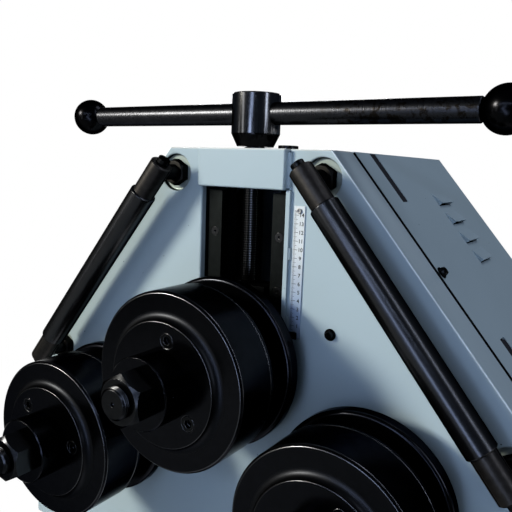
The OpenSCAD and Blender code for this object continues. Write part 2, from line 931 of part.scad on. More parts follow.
module base_plate() {
    half_x = anchor_spacing_x / 2 + anchor_margin;
    half_y = anchor_spacing_y / 2 + anchor_margin;
    color(dark_steel) difference() {
        block([-half_x, -half_y, 0], [half_x, half_y, floor_plate_thickness]);
        for (x = [-1, 1], y = [-1, 1]) {
            translate([x * anchor_spacing_x / 2, y * anchor_spacing_y / 2, 0])
                span(-overrun, floor_plate_thickness + overrun, anchor_hole_diameter);
        }
    }
}

// Gearbox on the back of the rear plate, with a hollow output for the pinion's shaft
module gearbox() {
    back = rear_plate_setback + rear_plate_thickness;
    color(motor_blue) difference() {
        union() {
            block([-gearbox_width / 2, plate_y + back, pinion_z - gearbox_height / 2],
                  [gearbox_width / 2, plate_y + back + gearbox_depth, pinion_z + gearbox_height / 2]);
            out_of_face(0, pinion_z)
                span(-back - gearbox_depth - gearbox_boss_length, -back - gearbox_depth,
                     gearbox_boss_diameter);
        }
        out_of_face(0, pinion_z)
            span(-back - pinion_grip - slide_clearance, -back + overrun,
                 pinion_shaft_diameter + 2 * running_clearance);
    }
}

// Flange motor hanging under the gearbox
module drive_motor() {
    back = rear_plate_setback + rear_plate_thickness;
    motor_top = pinion_z - gearbox_height / 2;
    motor_foot = motor_top - motor_flange_thickness - motor_length;
    color(motor_blue) translate([0, plate_y + back + gearbox_depth / 2, 0]) {
        span(motor_top - motor_flange_thickness, motor_top, motor_flange_diameter);
        span(motor_foot, motor_top - motor_flange_thickness, motor_diameter);
        span(motor_foot - motor_cowl_length, motor_foot, motor_cowl_diameter);
        block([-motor_diameter / 2 - motor_box_depth, -motor_box_size / 2, motor_foot + motor_length / 2],
              [0, motor_box_size / 2, motor_foot + motor_length / 2 + motor_box_size]);
    }
}

// Stems of the two controls, as holes through the box and the stand
module control_stems(depth) {
    translate([box_offset, -stand_half_y, box_top_z - box_height * (1 - stop_rise_share)])
        rotate([90, 0, 0]) span(-depth, overrun, gland_diameter);
}

// Control box on the stand's front
module control_box() {
    color(box_grey) difference() {
        block([box_offset - box_width / 2, box_y, box_top_z - box_height],
              [box_offset + box_width / 2, -stand_half_y, box_top_z]);
        block([box_offset - box_width / 2 + box_wall, box_y + box_wall, box_top_z - box_height + box_wall],
              [box_offset + box_width / 2 - box_wall, -stand_half_y + overrun, box_top_z - box_wall]);
        at_control(stop_rise_share) span(-2 * box_wall, overrun, stop_stem_diameter + 2 * slide_clearance);
        at_control(switch_rise_share)
            span(-2 * box_wall, overrun, switch_stem_diameter + 2 * running_clearance);
    }
}

// Local frame of a control: +Z points out of the box's front
module at_control(rise_share) {
    translate([box_offset, box_y, box_top_z - box_height * (1 - rise_share)]) rotate([90, 0, 0]) children();
}

// Mushroom button of the emergency stop
module emergency_stop() {
    gap = stop_travel + stop_collar_gap;
    color(signal_red) at_control(stop_rise_share) {
        span(-box_wall - stem_reach, gap, stop_stem_diameter);
        turned([[0, gap], [stop_diameter / 2, gap], [stop_diameter / 2, gap + stop_head_height / 2],
                [stop_diameter / 3, gap + stop_head_height], [0, gap + stop_head_height]]);
    }
}

// Rotary switch: reverse, off, forward
module direction_switch() {
    color(knob_black) at_control(switch_rise_share) {
        span(-box_wall - stem_reach, slide_clearance, switch_stem_diameter);
        span(slide_clearance, slide_clearance + switch_base_height, switch_diameter);
        intersection() {
            block([-switch_grip_width / 2, -switch_diameter, slide_clearance + switch_base_height],
                  [switch_grip_width / 2, switch_diameter, slide_clearance + switch_height]);
            span(slide_clearance, slide_clearance + switch_height, switch_diameter);
        }
    }
}

// Cable gland low on the stand's back
module cable_gland() {
    color(knob_black) translate([gland_offset, stand_half_y, gland_rise]) rotate([-90, 0, 0]) difference() {
        union() {
            span(-stand_wall - gland_reach, 0, gland_diameter);
            cylinder(d = gland_flats / cos(180 / hex_sides), h = gland_length / 2, $fn = hex_sides);
            span(gland_length / 2, gland_length, gland_diameter);
        }
        span(-stand_wall - gland_reach - overrun, gland_length + overrun, gland_bore);
    }
}

// Carriage: neck between the gibs, flanges in front of them and behind the ways, and the bearing boss
module carriage() {
    neck = gib_half_gap - slide_clearance;
    low_z = top_roll_z - carriage_below;
    color(dark_steel) difference() {
        union() {
            block([-neck, plate_y - carriage_proud, low_z],
                  [neck, plate_y + carriage_rear_back, carriage_top_z]);
            block([-carriage_front_half_width, plate_y - carriage_proud,
                   top_roll_z - carriage_flange_half_height],
                  [carriage_front_half_width, plate_y + gib_setback - slide_clearance,
                   top_roll_z + carriage_flange_half_height]);
            block([-carriage_rear_half_width, plate_y + carriage_rear_front, low_z],
                  [carriage_rear_half_width, plate_y + carriage_rear_back, top_roll_z + carriage_below]);
            out_of_face(0, top_roll_z)
                span(-carriage_boss_back, -carriage_rear_front, carriage_boss_diameter);
        }
        out_of_face(0, top_roll_z)
            span(-carriage_boss_back - overrun, carriage_proud + overrun,
                 shaft_diameter + 2 * (bush_wall + seat_clearance));
        translate([0, spindle_y, 0])
            span(carriage_top_z - spindle_head_height - 2 * slide_clearance, carriage_top_z + overrun,
                 spindle_head + 2 * slide_clearance);
    }
}

// Bronze bushes at both ends of the carriage's bore
module carriage_bushes() {
    color(bronze) out_of_face(0, top_roll_z) {
        bush(carriage_proud - bush_length);
        bush(-carriage_boss_back);
    }
}

module bush(from) {
    difference() {
        span(from, from + bush_length, shaft_diameter + 2 * bush_wall);
        span(from - overrun, from + bush_length + overrun, shaft_diameter + 2 * running_clearance);
    }
}

// Split plate that holds the spindle's head in the carriage
module spindle_retainer() {
    color(bare_steel) difference() {
        both_sides()
            block([retainer_split / 2, spindle_y - retainer_depth / 2, carriage_top_z],
                  [retainer_width / 2, spindle_y + retainer_depth / 2, carriage_top_z + retainer_thickness]);
        translate([0, spindle_y, 0])
            span(carriage_top_z - overrun, carriage_top_z + retainer_thickness + overrun,
                 spindle_journal + 2 * slide_clearance);
    }
}

// Pointer from the carriage across the scale
module scale_pointer() {
    pointer_z = top_roll_z + pointer_rise;
    color(knob_black)
        block([carriage_front_half_width - pointer_root, plate_y - carriage_proud - pointer_thickness,
               pointer_z - pointer_height / 2],
              [scale_offset + scale_width / 2, plate_y - carriage_proud, pointer_z + pointer_height / 2]);
}

// Rising spindle: thread, captive journal and head, and the spigot in the handle's hub
module spindle() {
    thread_foot = carriage_top_z + retainer_thickness + slide_clearance;
    head_top = carriage_top_z - slide_clearance;
    color(dark_steel) translate([0, spindle_y, 0]) {
        span(thread_foot, hub_foot_z, spindle_diameter);
        span(hub_foot_z, rod_z - rod_diameter / 2 - spigot_top_gap, spigot_diameter);
        span(head_top, thread_foot, spindle_journal);
        span(head_top - spindle_head_height, head_top, spindle_head);
    }
}

// Hub of the T handle, with a cone towards the bridge block
module handle_hub() {
    color(dark_steel) translate([0, spindle_y, hub_foot_z]) difference() {
        turned([[0, 0], [handle_cone_diameter / 2, 0], [handle_hub_diameter / 2, handle_cone_height],
                [handle_hub_diameter / 2, handle_cone_height + handle_hub_height - hub_edge],
                [handle_hub_diameter / 2 - hub_edge, handle_cone_height + handle_hub_height],
                [0, handle_cone_height + handle_hub_height]]);
        span(-overrun, rod_z - hub_foot_z - rod_diameter / 2 - spigot_top_gap + seat_clearance,
             spigot_diameter + 2 * seat_clearance);
        translate([0, 0, rod_z - hub_foot_z]) rotate([0, 90, 0])
            span(-handle_hub_diameter, handle_hub_diameter, rod_diameter + 2 * seat_clearance);
    }
}

// Cross rod with a stud for a knob on each end
module handle_rod() {
    half = rod_length / 2;
    color(dark_steel) translate([0, spindle_y, rod_z]) rotate([0, 90, 0]) {
        turned([[0, -half], [rod_diameter / 2 - rod_edge, -half], [rod_diameter / 2, -half + rod_edge],
                [rod_diameter / 2, half - rod_edge], [rod_diameter / 2 - rod_edge, half], [0, half]]);
        span(-half - knob_stud_length, half + knob_stud_length, knob_stud_diameter);
    }
}

module handle_knobs() {
    color(knob_black) translate([0, spindle_y, rod_z]) both_sides() rotate([0, 90, 0]) difference() {
        translate([0, 0, knob_centre]) sphere(d = knob_diameter);
        span(0, rod_length / 2, knob_diameter);
        span(0, rod_length / 2 + knob_stud_length + seat_clearance, knob_stud_diameter + 2 * seat_clearance);
    }
}

// Shaft of one roll: thread, seat for the rings, shoulder and the tail behind the face
module roll_shaft(shoulder_back, step_back, tail_back, tail_diameter) {
    turned([[0, -tail_back], [tail_diameter / 2, -tail_back], [tail_diameter / 2, -step_back],
            [shaft_diameter / 2, -step_back], [shaft_diameter / 2, shoulder_back],
            [shoulder_diameter / 2, shoulder_back], [shoulder_diameter / 2, roll_standoff],
            [shaft_diameter / 2, roll_standoff], [shaft_diameter / 2, seat_front],
            [thread_diameter / 2, seat_front], [thread_diameter / 2, shaft_front - thread_edge],
            [thread_diameter / 2 - thread_edge, shaft_front], [centre_hole / 2, shaft_front],
            [0, shaft_front - centre_hole]]);
}

// Rear flange with the groove's floor in front of it
module roll_flange(screw_angle) {
    bore_r = shaft_diameter / 2 + seat_clearance;
    difference() {
        turned(concat(
            [[bore_r, roll_standoff]],
            arc([flange_diameter / 2 - flange_edge, roll_standoff + flange_edge], flange_edge, -90, 0),
            arc([flange_diameter / 2 - flange_edge, flange_front - flange_edge], flange_edge, 0, 90),
            arc([groove_diameter / 2 + groove_fillet, flange_front + groove_fillet],
                groove_fillet, 270, 180),
            [[groove_diameter / 2, groove_front], [bore_r, groove_front]]));
        at_roll_screws(screw_angle) span(groove_front - screw_bite - overrun, groove_front + overrun,
                                         screw_shank + 2 * seat_clearance);
    }
}

// Front ring with its raised hub
module roll_ring(screw_angle) {
    bore_r = shaft_diameter / 2 + seat_clearance;
    outer_r = roll_diameter / 2;
    seam = groove_front + seam_groove_setback;
    difference() {
        turned(concat(
            [[bore_r, groove_front], [outer_r - seam_groove, groove_front],
             [outer_r, groove_front + seam_groove],
             [outer_r, seam], [outer_r - seam_groove, seam + seam_groove / 2], [outer_r, seam + seam_groove],
             [outer_r, ring_front - ring_edge], [outer_r - ring_edge, ring_front]],
            arc([boss_diameter / 2 + boss_fillet, ring_front + boss_fillet], boss_fillet, 270, 180),
            [[boss_diameter / 2 - boss_edge, boss_front], [bore_r, boss_front]]));
        at_roll_screws(screw_angle) {
            span(groove_front - overrun, boss_front + overrun, screw_shank + 2 * seat_clearance);
            span(boss_front - screw_head_height - seat_clearance, boss_front + overrun,
                 screw_head + overrun);
        }
    }
}

module at_roll_screws(screw_angle) {
    for (i = [0:screw_count - 1]) {
        rotate(screw_angle + 360 * i / screw_count) translate([screw_circle / 2, 0, 0]) children();
    }
}

// Screws that clamp the front ring to the rear flange
module roll_screws(screw_angle) {
    grip = boss_front - screw_head_height - groove_front + screw_bite;
    at_roll_screws(screw_angle) translate([0, 0, boss_front - screw_head_height])
        cap_screw(screw_head, screw_head_height, screw_shank, grip);
}

// Clamp collar between the ring and the nut, closed down to the thread in front
module roll_collar() {
    seat_r = shaft_diameter / 2 + seat_clearance;
    thread_r = thread_diameter / 2 + seat_clearance;
    outer_r = collar_diameter / 2;
    difference() {
        turned([[seat_r, boss_front], [outer_r, boss_front], [outer_r, collar_front - boss_edge],
                [outer_r - boss_edge, collar_front], [thread_r, collar_front], [thread_r, seat_front],
                [seat_r, seat_front]]);
        rotate(collar_hole_angle)
            translate([collar_diameter / 2 - collar_hole_depth, 0, collar_front - collar_hole_setback])
                rotate([0, 90, 0]) cylinder(d = collar_hole_diameter, h = collar_hole_depth + overrun);
    }
}

module roll_nut() {
    translate([0, 0, collar_front]) hex_nut(nut_flats, nut_thickness, thread_diameter + 2 * seat_clearance);
}

// Keys of a driven shaft: one under the front ring, one under the gear
module shaft_keys(clearance) {
    key_bottom = shaft_diameter / 2 - key_depth;
    tail_bottom = rear_journal_diameter / 2 - key_depth;
    ring_key_front = groove_front + key_margin + roll_key_length;
    gear_key_front = -gear_setback - key_margin;
    half = key_width / 2 + clearance;
    block([-half, key_bottom - clearance, ring_key_front - roll_key_length - clearance],
          [half, key_bottom + key_height + clearance, ring_key_front + clearance]);
    block([-half, tail_bottom - clearance, gear_key_front - gear_key_length - clearance],
          [half, tail_bottom + key_height + clearance, gear_key_front + clearance]);
}

// Driven shaft of a lower roll, with its keyways
module lower_shaft() {
    difference() {
        roll_shaft(slide_clearance - bearing_lip, gear_setback - gear_hub_front,
                   rear_plate_setback + bearing_width + shaft_tail, rear_journal_diameter);
        shaft_keys(seat_clearance);
    }
}

// Gear of a lower roll, with a hub that reaches the rear bearing
module roll_gear(turn) {
    difference() {
        union() {
            translate([0, 0, -gear_setback - gear_width])
                linear_extrude(gear_width) rotate(turn) polygon(gear_points(gear_teeth));
            span(-rear_plate_setback + slide_clearance, -gear_setback + gear_hub_front, gear_hub_diameter);
        }
        span(-rear_plate_setback - overrun, 0, rear_journal_diameter + 2 * seat_clearance);
        shaft_keys(seat_clearance);
    }
}

// Front ring of a driven roll, with its keyway
module keyed_ring(screw_angle) {
    difference() {
        roll_ring(screw_angle);
        shaft_keys(seat_clearance);
    }
}

module top_roll() {
    out_of_face(0, top_roll_z) children();
}

module left_roll() {
    out_of_face(-lower_roll_x, lower_roll_z) children();
}

module right_roll() {
    out_of_face(lower_roll_x, lower_roll_z) children();
}

// Top roll: idles in the carriage
module top_shaft() {
    color(dark_steel) top_roll()
        roll_shaft(carriage_proud + slide_clearance, carriage_boss_back,
                   carriage_boss_back + top_shaft_tail, rear_journal_diameter);
}

// Ring that keeps the top shaft in the carriage
module top_lock_ring() {
    ring_front_end = carriage_boss_back + slide_clearance;
    color(bare_steel) top_roll() difference() {
        span(-ring_front_end - lock_ring_width, -ring_front_end, lock_ring_diameter);
        span(-ring_front_end - 2 * lock_ring_width, 0, rear_journal_diameter + 2 * seat_clearance);
    }
}

module top_rear_flange() {
    color(black_steel) top_roll() roll_flange(top_screw_angle);
}

module top_front_ring() {
    color(black_steel) top_roll() roll_ring(top_screw_angle);
}

module top_collar() {
    color(black_steel) top_roll() roll_collar();
}

module top_nut() {
    color(dark_steel) top_roll() roll_nut();
}

module top_screws() {
    color(dark_steel) top_roll() roll_screws(top_screw_angle);
}

// Left lower roll: driven
module left_shaft() {
    color(dark_steel) left_roll() lower_shaft();
}

module left_keys() {
    color(bare_steel) left_roll() shaft_keys(0);
}

module left_gear() {
    color(gear_steel) left_roll() roll_gear(gear_turn(180 - atan(pinion_drop / lower_roll_x)));
}

module left_rear_flange() {
    color(black_steel) left_roll() roll_flange(left_screw_angle);
}

module left_front_ring() {
    color(black_steel) left_roll() keyed_ring(left_screw_angle);
}

module left_collar() {
    color(black_steel) left_roll() roll_collar();
}

module left_nut() {
    color(dark_steel) left_roll() roll_nut();
}

module left_screws() {
    color(dark_steel) left_roll() roll_screws(left_screw_angle);
}

// Right lower roll: driven
module right_shaft() {
    color(dark_steel) right_roll() lower_shaft();
}

module right_keys() {
    color(bare_steel) right_roll() shaft_keys(0);
}

module right_gear() {
    color(gear_steel) right_roll() roll_gear(gear_turn(atan(pinion_drop / lower_roll_x)));
}

module right_rear_flange() {
    color(black_steel) right_roll() roll_flange(right_screw_angle);
}

module right_front_ring() {
    color(black_steel) right_roll() keyed_ring(right_screw_angle);
}

module right_collar() {
    color(black_steel) right_roll() roll_collar();
}

module right_nut() {
    color(dark_steel) right_roll() roll_nut();
}

module right_screws() {
    color(dark_steel) right_roll() roll_screws(right_screw_angle);
}

// Pinion shaft between the two roll gears, out of the gearbox
module drive_pinion() {
    color(gear_steel) out_of_face(0, pinion_z) {
        translate([0, 0, -gear_setback - gear_width])
            linear_extrude(gear_width) polygon(gear_points(pinion_teeth));
        span(-rear_plate_setback - rear_plate_thickness - pinion_grip, -gear_setback + pinion_nose,
             pinion_shaft_diameter);
    }
}

front_frame();
bridge_block();
slide_gibs();
gib_screws();
slot_edge_strip();
scale_plate();
scale_screws();
lock_screw();
spindle_nut();
guide_bars();
bar_studs();
bar_nuts();
bar_end_screws();
roll_shaft_bearings();
rear_plate();
tie_bars();
left_side_cover();
right_side_cover();
top_back_cover();
cover_screws();
base_cabinet();
base_plate();
drive_motor();
gearbox();
control_box();
cable_gland();
carriage();
carriage_bushes();
spindle_retainer();
scale_pointer();
spindle();
handle_hub();
handle_rod();
handle_knobs();
top_shaft();
top_lock_ring();
top_rear_flange();
top_front_ring();
top_collar();
top_nut();
top_screws();
left_shaft();
left_keys();
left_gear();
left_rear_flange();
left_front_ring();
left_collar();
left_nut();
left_screws();
right_shaft();
right_keys();
right_gear();
right_rear_flange();
right_front_ring();
right_collar();
right_nut();
right_screws();
drive_pinion();
direction_switch();
emergency_stop();
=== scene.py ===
import math

import bmesh
import bpy
from mathutils import Matrix, Quaternion, Vector


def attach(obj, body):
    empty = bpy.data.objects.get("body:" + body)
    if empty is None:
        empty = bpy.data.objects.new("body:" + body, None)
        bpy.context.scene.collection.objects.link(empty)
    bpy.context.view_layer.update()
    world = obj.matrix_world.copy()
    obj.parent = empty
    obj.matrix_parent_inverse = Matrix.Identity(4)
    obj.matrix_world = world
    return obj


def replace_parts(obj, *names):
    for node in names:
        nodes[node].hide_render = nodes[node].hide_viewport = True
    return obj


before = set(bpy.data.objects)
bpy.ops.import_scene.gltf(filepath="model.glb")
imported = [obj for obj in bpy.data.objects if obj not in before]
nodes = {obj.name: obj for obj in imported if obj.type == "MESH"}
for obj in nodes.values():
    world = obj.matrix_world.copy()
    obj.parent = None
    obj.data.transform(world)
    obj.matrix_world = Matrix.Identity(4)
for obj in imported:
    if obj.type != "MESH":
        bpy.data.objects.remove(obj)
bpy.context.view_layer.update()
scene = bpy.context.scene
scene.view_settings.view_transform = "Standard"

# Camera
# Stands to the front right of the machine, level with its top, and looks a little down.
# Its axes and place come from a fit to the edges of the housing, the handle and the scale.
MM = 0.001
CAMERA_RIGHT = (0.83644, 0.54694, 0.03515)
CAMERA_UP = (-0.10901, 0.10318, 0.98867)
CAMERA_BACK = (0.53712, -0.83079, 0.14593)
CAMERA_PLACE = (416.8 * MM, -808.65 * MM, 1229.23 * MM)
LENS_MM = 42.79
SENSOR_MM = 36
lens = bpy.data.cameras.new("camera")
lens.lens = LENS_MM
lens.sensor_width = SENSOR_MM
camera = bpy.data.objects.new("camera", lens)
turn = Matrix((CAMERA_RIGHT, CAMERA_UP, CAMERA_BACK)).transposed().to_4x4()
camera.matrix_world = Matrix.Translation(CAMERA_PLACE) @ turn
scene.collection.objects.link(camera)
scene.camera = camera

# Studio
# A pale floor that runs into a white backdrop behind the machine; the room in front is dim.
# The key box stands front left and high, and tall soft cards draw the streaks on round steel.


def linear(colour):
    """An sRGB hex colour as linear red, green, blue and alpha."""
    parts = [int(colour[i:i + 2], 16) / 255 for i in (1, 3, 5)]
    return [p / 12.92 if p <= 0.04045 else ((p + 0.055) / 1.055) ** 2.4 for p in parts] + [1]


def add(tree, kind, inputs=(), out=0, **settings):
    """Adds a node with its settings, sets or links its inputs, and gives one of its outputs."""
    made = tree.nodes.new(kind)
    for name, value in settings.items():
        setattr(made, name, value)
    for socket, value in dict(inputs).items():
        if isinstance(value, bpy.types.NodeSocket):
            tree.links.new(value, made.inputs[socket])
        else:
            made.inputs[socket].default_value = value
    return made.outputs[out]


def shown_white(tree, behind):
    """1 where the backdrop shows: to the camera, and to metal and glass that look behind the part."""
    rays = add(tree, "ShaderNodeLightPath").node.outputs
    shine = add(tree, "ShaderNodeMath", {0: rays["Is Glossy Ray"], 1: rays["Is Transmission Ray"]},
                operation="MAXIMUM")
    shine = add(tree, "ShaderNodeMath", {0: shine, 1: behind}, operation="MULTIPLY")
    return add(tree, "ShaderNodeMath", {0: rays["Is Camera Ray"], 1: shine}, operation="MAXIMUM")


WHITE = "#ffffff"
ROOM_TINT = "#c4dcff"
ROOM_LIGHT = 0.05
# Steel sees the backdrop behind the part, low down and to the left; these are parts of a ray's direction
BACK_START = 0.1
BACK_FULL = 0.45
HIGH_END = 0.5
LOW_FULL = 0.25
RIGHT_END = 0.35
LEFT_FULL = 0.05
world = bpy.data.worlds.new("studio_room")
world.use_nodes = True
scene.world = world
room = world.node_tree
ray = add(room, "ShaderNodeTexCoord", out="Generated")
direction = add(room, "ShaderNodeSeparateXYZ", {0: ray}).node.outputs
behind = add(room, "ShaderNodeMapRange",
             {"Value": direction["Y"], "From Min": BACK_START, "From Max": BACK_FULL})
low = add(room, "ShaderNodeMapRange",
          {"Value": direction["Z"], "From Min": HIGH_END, "From Max": LOW_FULL})
behind = add(room, "ShaderNodeMath", {0: behind, 1: low}, operation="MULTIPLY")
left = add(room, "ShaderNodeMapRange",
           {"Value": direction["X"], "From Min": RIGHT_END, "From Max": LEFT_FULL})
behind = add(room, "ShaderNodeMath", {0: behind, 1: left}, operation="MULTIPLY")
white = shown_white(room, behind)
background = room.nodes["Background"]
strength = add(room, "ShaderNodeMapRange", {"Value": white, "To Min": ROOM_LIGHT, "To Max": 1.0})
tint = add(room, "ShaderNodeMix", {0: white, 6: linear(ROOM_TINT), 7: linear(WHITE)}, out=2,
           data_type="RGBA")
room.links.new(strength, background.inputs["Strength"])
room.links.new(tint, background.inputs["Color"])

FLOOR_HALF = 12
FLOOR_GREY = "#7c8084"
floor_mesh = bpy.data.meshes.new("studio_floor")
plane = bmesh.new()
bmesh.ops.create_grid(plane, x_segments=1, y_segments=1, size=FLOOR_HALF)
plane.to_mesh(floor_mesh)
plane.free()
floor = bpy.data.objects.new("studio_floor", floor_mesh)
scene.collection.objects.link(floor)
pale_floor = bpy.data.materials.new("pale_floor")
pale_floor.use_nodes = True
boards = pale_floor.node_tree
boards.nodes.remove(boards.nodes["Principled BSDF"])
# The floor keeps the shadow close to the machine and fades to plain white further out, and steel
# sees it white near the stand and behind it; the distances are metres from the machine's middle
SHADOW_REACH = 0.75
WHITE_REACH = 1.35
SHADOW_SHARE = 0.86
NEAR_REACH = 0.5
FAR_REACH = 0.95
FRONT_END_Y = -0.6
BACK_FULL_Y = 0.2
place = add(boards, "ShaderNodeTexCoord", out="Object")
reach = add(boards, "ShaderNodeVectorMath", {0: place}, out="Value", operation="LENGTH")
fade = add(boards, "ShaderNodeMapRange", {"Value": reach, "From Min": SHADOW_REACH, "From Max": WHITE_REACH,
                                          "To Min": SHADOW_SHARE, "To Max": 1.0})
near = add(boards, "ShaderNodeMapRange", {"Value": reach, "From Min": NEAR_REACH, "From Max": FAR_REACH,
                                          "To Min": 1.0, "To Max": 0.0})
depth = add(boards, "ShaderNodeSeparateXYZ", {0: place}, out="Y")
behind = add(boards, "ShaderNodeMapRange",
             {"Value": depth, "From Min": FRONT_END_Y, "From Max": BACK_FULL_Y})
behind = add(boards, "ShaderNodeMath", {0: behind, 1: near}, operation="MAXIMUM")
share = add(boards, "ShaderNodeMath", {0: shown_white(boards, behind), 1: fade}, operation="MULTIPLY")
matt = add(boards, "ShaderNodeBsdfDiffuse", {"Color": linear(FLOOR_GREY)})
glow = add(boards, "ShaderNodeEmission", {"Color": linear(WHITE), "Strength": 1.0})
boards.links.new(add(boards, "ShaderNodeMixShader", {0: share, 1: matt, 2: glow}),
                 boards.nodes["Material Output"].inputs["Surface"])
floor.data.materials.append(pale_floor)

# Each lamp: place, width and height in metres, roll in degrees, watts and tint
LAMP_TARGET = Vector((0, -0.2, 1.05))
LAMPS = {
    "key_box": ((-2.41, -2.95, 2.44), (0.8, 0.8), 0, 178, "#fffaea"),
    "left_card": ((-1.0, -1.89, 1.3), (0.25, 1.0), 0, 1.6, "#ffffff"),
    "side_card": ((-1.7, -1.55, 0.95), (0.12, 0.7), 0, 0.6, "#ffffff"),
    "camera_card": ((0.25, -1.36, 1.43), (0.25, 0.2), 0, 0.55, "#c8daff"),
    "slant_card": ((0.27, -1.335, 1.02), (0.2, 0.8), 39, 2.8, "#c8daff"),
    "front_bank": ((0.2, -2.1, 1.95), (2.0, 0.1), 0, 6, "#cfe0ff"),
    "low_bank": ((0.2, -2.1, 0.7), (1.6, 0.1), 0, 1.0, "#cfe0ff"),
    "right_card": ((1.95, -0.52, 1.45), (0.3, 0.4), 0, 2.7, "#e6eeff"),
    "upper_card": ((1.8, -0.71, 2.4), (0.2, 1.5), 0, 6, "#e6eeff"),
    "top_box": ((0.7, 0.4, 2.9), (0.7, 0.7), 0, 8, "#edf3ff"),
    "back_box": ((-1.5, 2.3, 2.2), (1.2, 1.2), 0, 70, "#ffffff"),
}
for name, (spot, size, roll, watts, tint) in LAMPS.items():
    lamp = bpy.data.lights.new(name, "AREA")
    lamp.color = linear(tint)[:3]
    lamp.shape = "RECTANGLE"
    lamp.size, lamp.size_y = size
    lamp.energy = watts
    lamp_object = bpy.data.objects.new(name, lamp)
    lamp_object.location = spot
    aim = (LAMP_TARGET - Vector(spot)).to_track_quat("-Z", "Y")
    lamp_object.rotation_euler = (aim @ Quaternion((0, 0, 1), math.radians(roll))).to_euler()
    scene.collection.objects.link(lamp_object)

# Stand
# A folded sheet cabinet on a thick floor plate, sprayed in the machine's light blue-grey enamel.
# Its lay-on door is folded from the same sheet, on two barrel hinges, with a quarter-turn lock.
DOUBLES_MM = 0.002
FLAT_DEGREES = 0.3
EDGE_DEGREES = 35


def finish(name):
    """A new material with its node tree and its surface shader."""
    made = bpy.data.materials.new(name)
    made.use_nodes = True
    return made, made.node_tree, made.node_tree.nodes["Principled BSDF"]


def dress(name, made, edge=0.0, segments=2, edge_wear_and_highlight=None, clamp=True):
    """Puts a finish on a CAD piece and rounds its edges by millimetres, with the edges' own worn finish if
    one is given.
    """
    piece = nodes[name]
    piece.data.materials.clear()
    piece.data.materials.append(made)
    if "custom_normal" in piece.data.attributes:
        piece.data.attributes.remove(piece.data.attributes["custom_normal"])
    piece.data.polygons.foreach_set("use_smooth", [True] * len(piece.data.polygons))
    weld = piece.modifiers.new("weld", "WELD")
    weld.merge_threshold = DOUBLES_MM * MM
    flat = piece.modifiers.new("flat_faces", "DECIMATE")
    flat.decimate_type = "DISSOLVE"
    flat.angle_limit = math.radians(FLAT_DEGREES)
    if edge:
        bevel = piece.modifiers.new("edges", "BEVEL")
        bevel.width = edge * MM
        bevel.segments = segments
        bevel.limit_method = "ANGLE"
        bevel.angle_limit = math.radians(EDGE_DEGREES)
        bevel.use_clamp_overlap = clamp
        if edge_wear_and_highlight:
            piece.data.materials.append(edge_wear_and_highlight)
            bevel.material = 1
    normals = piece.modifiers.new("face_normals", "WEIGHTED_NORMAL")
    normals.keep_sharp = True


ENAMEL_DARK = "#9bacb5"
ENAMEL_LIGHT = "#a6b8c1"
ENAMEL_CHIP = "#4c5357"
ENAMEL_TOP_HIGHLIGHT = "#c2c8c9"
CLOUD_MM = 160
SHEEN_MM = 35
PEEL_MM = 2.2
PEEL_HEIGHT_MM = 0.02
CHIP_SPACING_MM = 26
CHIP_SHARE = 0.03
TOP_HIGHLIGHT_START = 2.0
TOP_HIGHLIGHT_FULL = 1.0


def enamel(name, specular, rough, top_z=None):
    """Sprayed machine enamel: faintly cloudy, with a fine orange peel, a few chips and a pale top edge that
    is a painted highlight.
    """
    made, tree, paint = finish(name)
    place = add(tree, "ShaderNodeTexCoord", out="Object")
    cloud = add(tree, "ShaderNodeTexNoise", {"Vector": place, "Scale": 1 / (CLOUD_MM * MM), "Detail": 4.0})
    colour = add(tree, "ShaderNodeMix", {0: cloud, 6: linear(ENAMEL_DARK), 7: linear(ENAMEL_LIGHT)}, out=2,
                 data_type="RGBA")
    cell = add(tree, "ShaderNodeTexVoronoi", {"Vector": place, "Scale": 1 / (CHIP_SPACING_MM * MM)})
    chip = add(tree, "ShaderNodeMath", {0: cell, 1: CHIP_SHARE}, operation="LESS_THAN")
    colour = add(tree, "ShaderNodeMix", {0: chip, 6: colour, 7: linear(ENAMEL_CHIP)}, out=2, data_type="RGBA")
    # A pale band just below the top edge is a painted highlight on its rounded edge
    if top_z:
        height = add(tree, "ShaderNodeSeparateXYZ", {0: place}, out="Z")
        edge_wear_and_highlight = add(tree, "ShaderNodeMapRange", {"Value": height, "From Min": (top_z - TOP_HIGHLIGHT_START) * MM,
                                                  "From Max": (top_z - TOP_HIGHLIGHT_FULL) * MM})
        colour = add(tree, "ShaderNodeMix", {0: edge_wear_and_highlight, 6: colour, 7: linear(ENAMEL_TOP_HIGHLIGHT)}, out=2,
                     data_type="RGBA")
    sheen = add(tree, "ShaderNodeTexNoise", {"Vector": place, "Scale": 1 / (SHEEN_MM * MM), "Detail": 3.0})
    gloss = add(tree, "ShaderNodeMapRange", {"Value": sheen, "To Min": rough[0], "To Max": rough[1]})
    peel = add(tree, "ShaderNodeTexNoise", {"Vector": place, "Scale": 1 / (PEEL_MM * MM), "Detail": 1.0})
    relief = add(tree, "ShaderNodeBump", {"Height": peel, "Distance": PEEL_HEIGHT_MM * MM, "Strength": 0.3})
    tree.links.new(colour, paint.inputs["Base Color"])
    tree.links.new(gloss, paint.inputs["Roughness"])
    tree.links.new(relief, paint.inputs["Normal"])
    paint.inputs["Specular IOR Level"].default_value = specular
    return made, tree, paint, place, colour


# Sprayed sheet gives an even, flat blue-grey with no mirror in it
sheet_enamel = enamel("blue_grey_sheet_enamel", specular=0.0, rough=(0.45, 0.55))[0]
dress("base_cabinet", sheet_enamel, edge=1.5)

MOTTLE_MM = 12
SKIN_HEIGHT_MM = 0.02


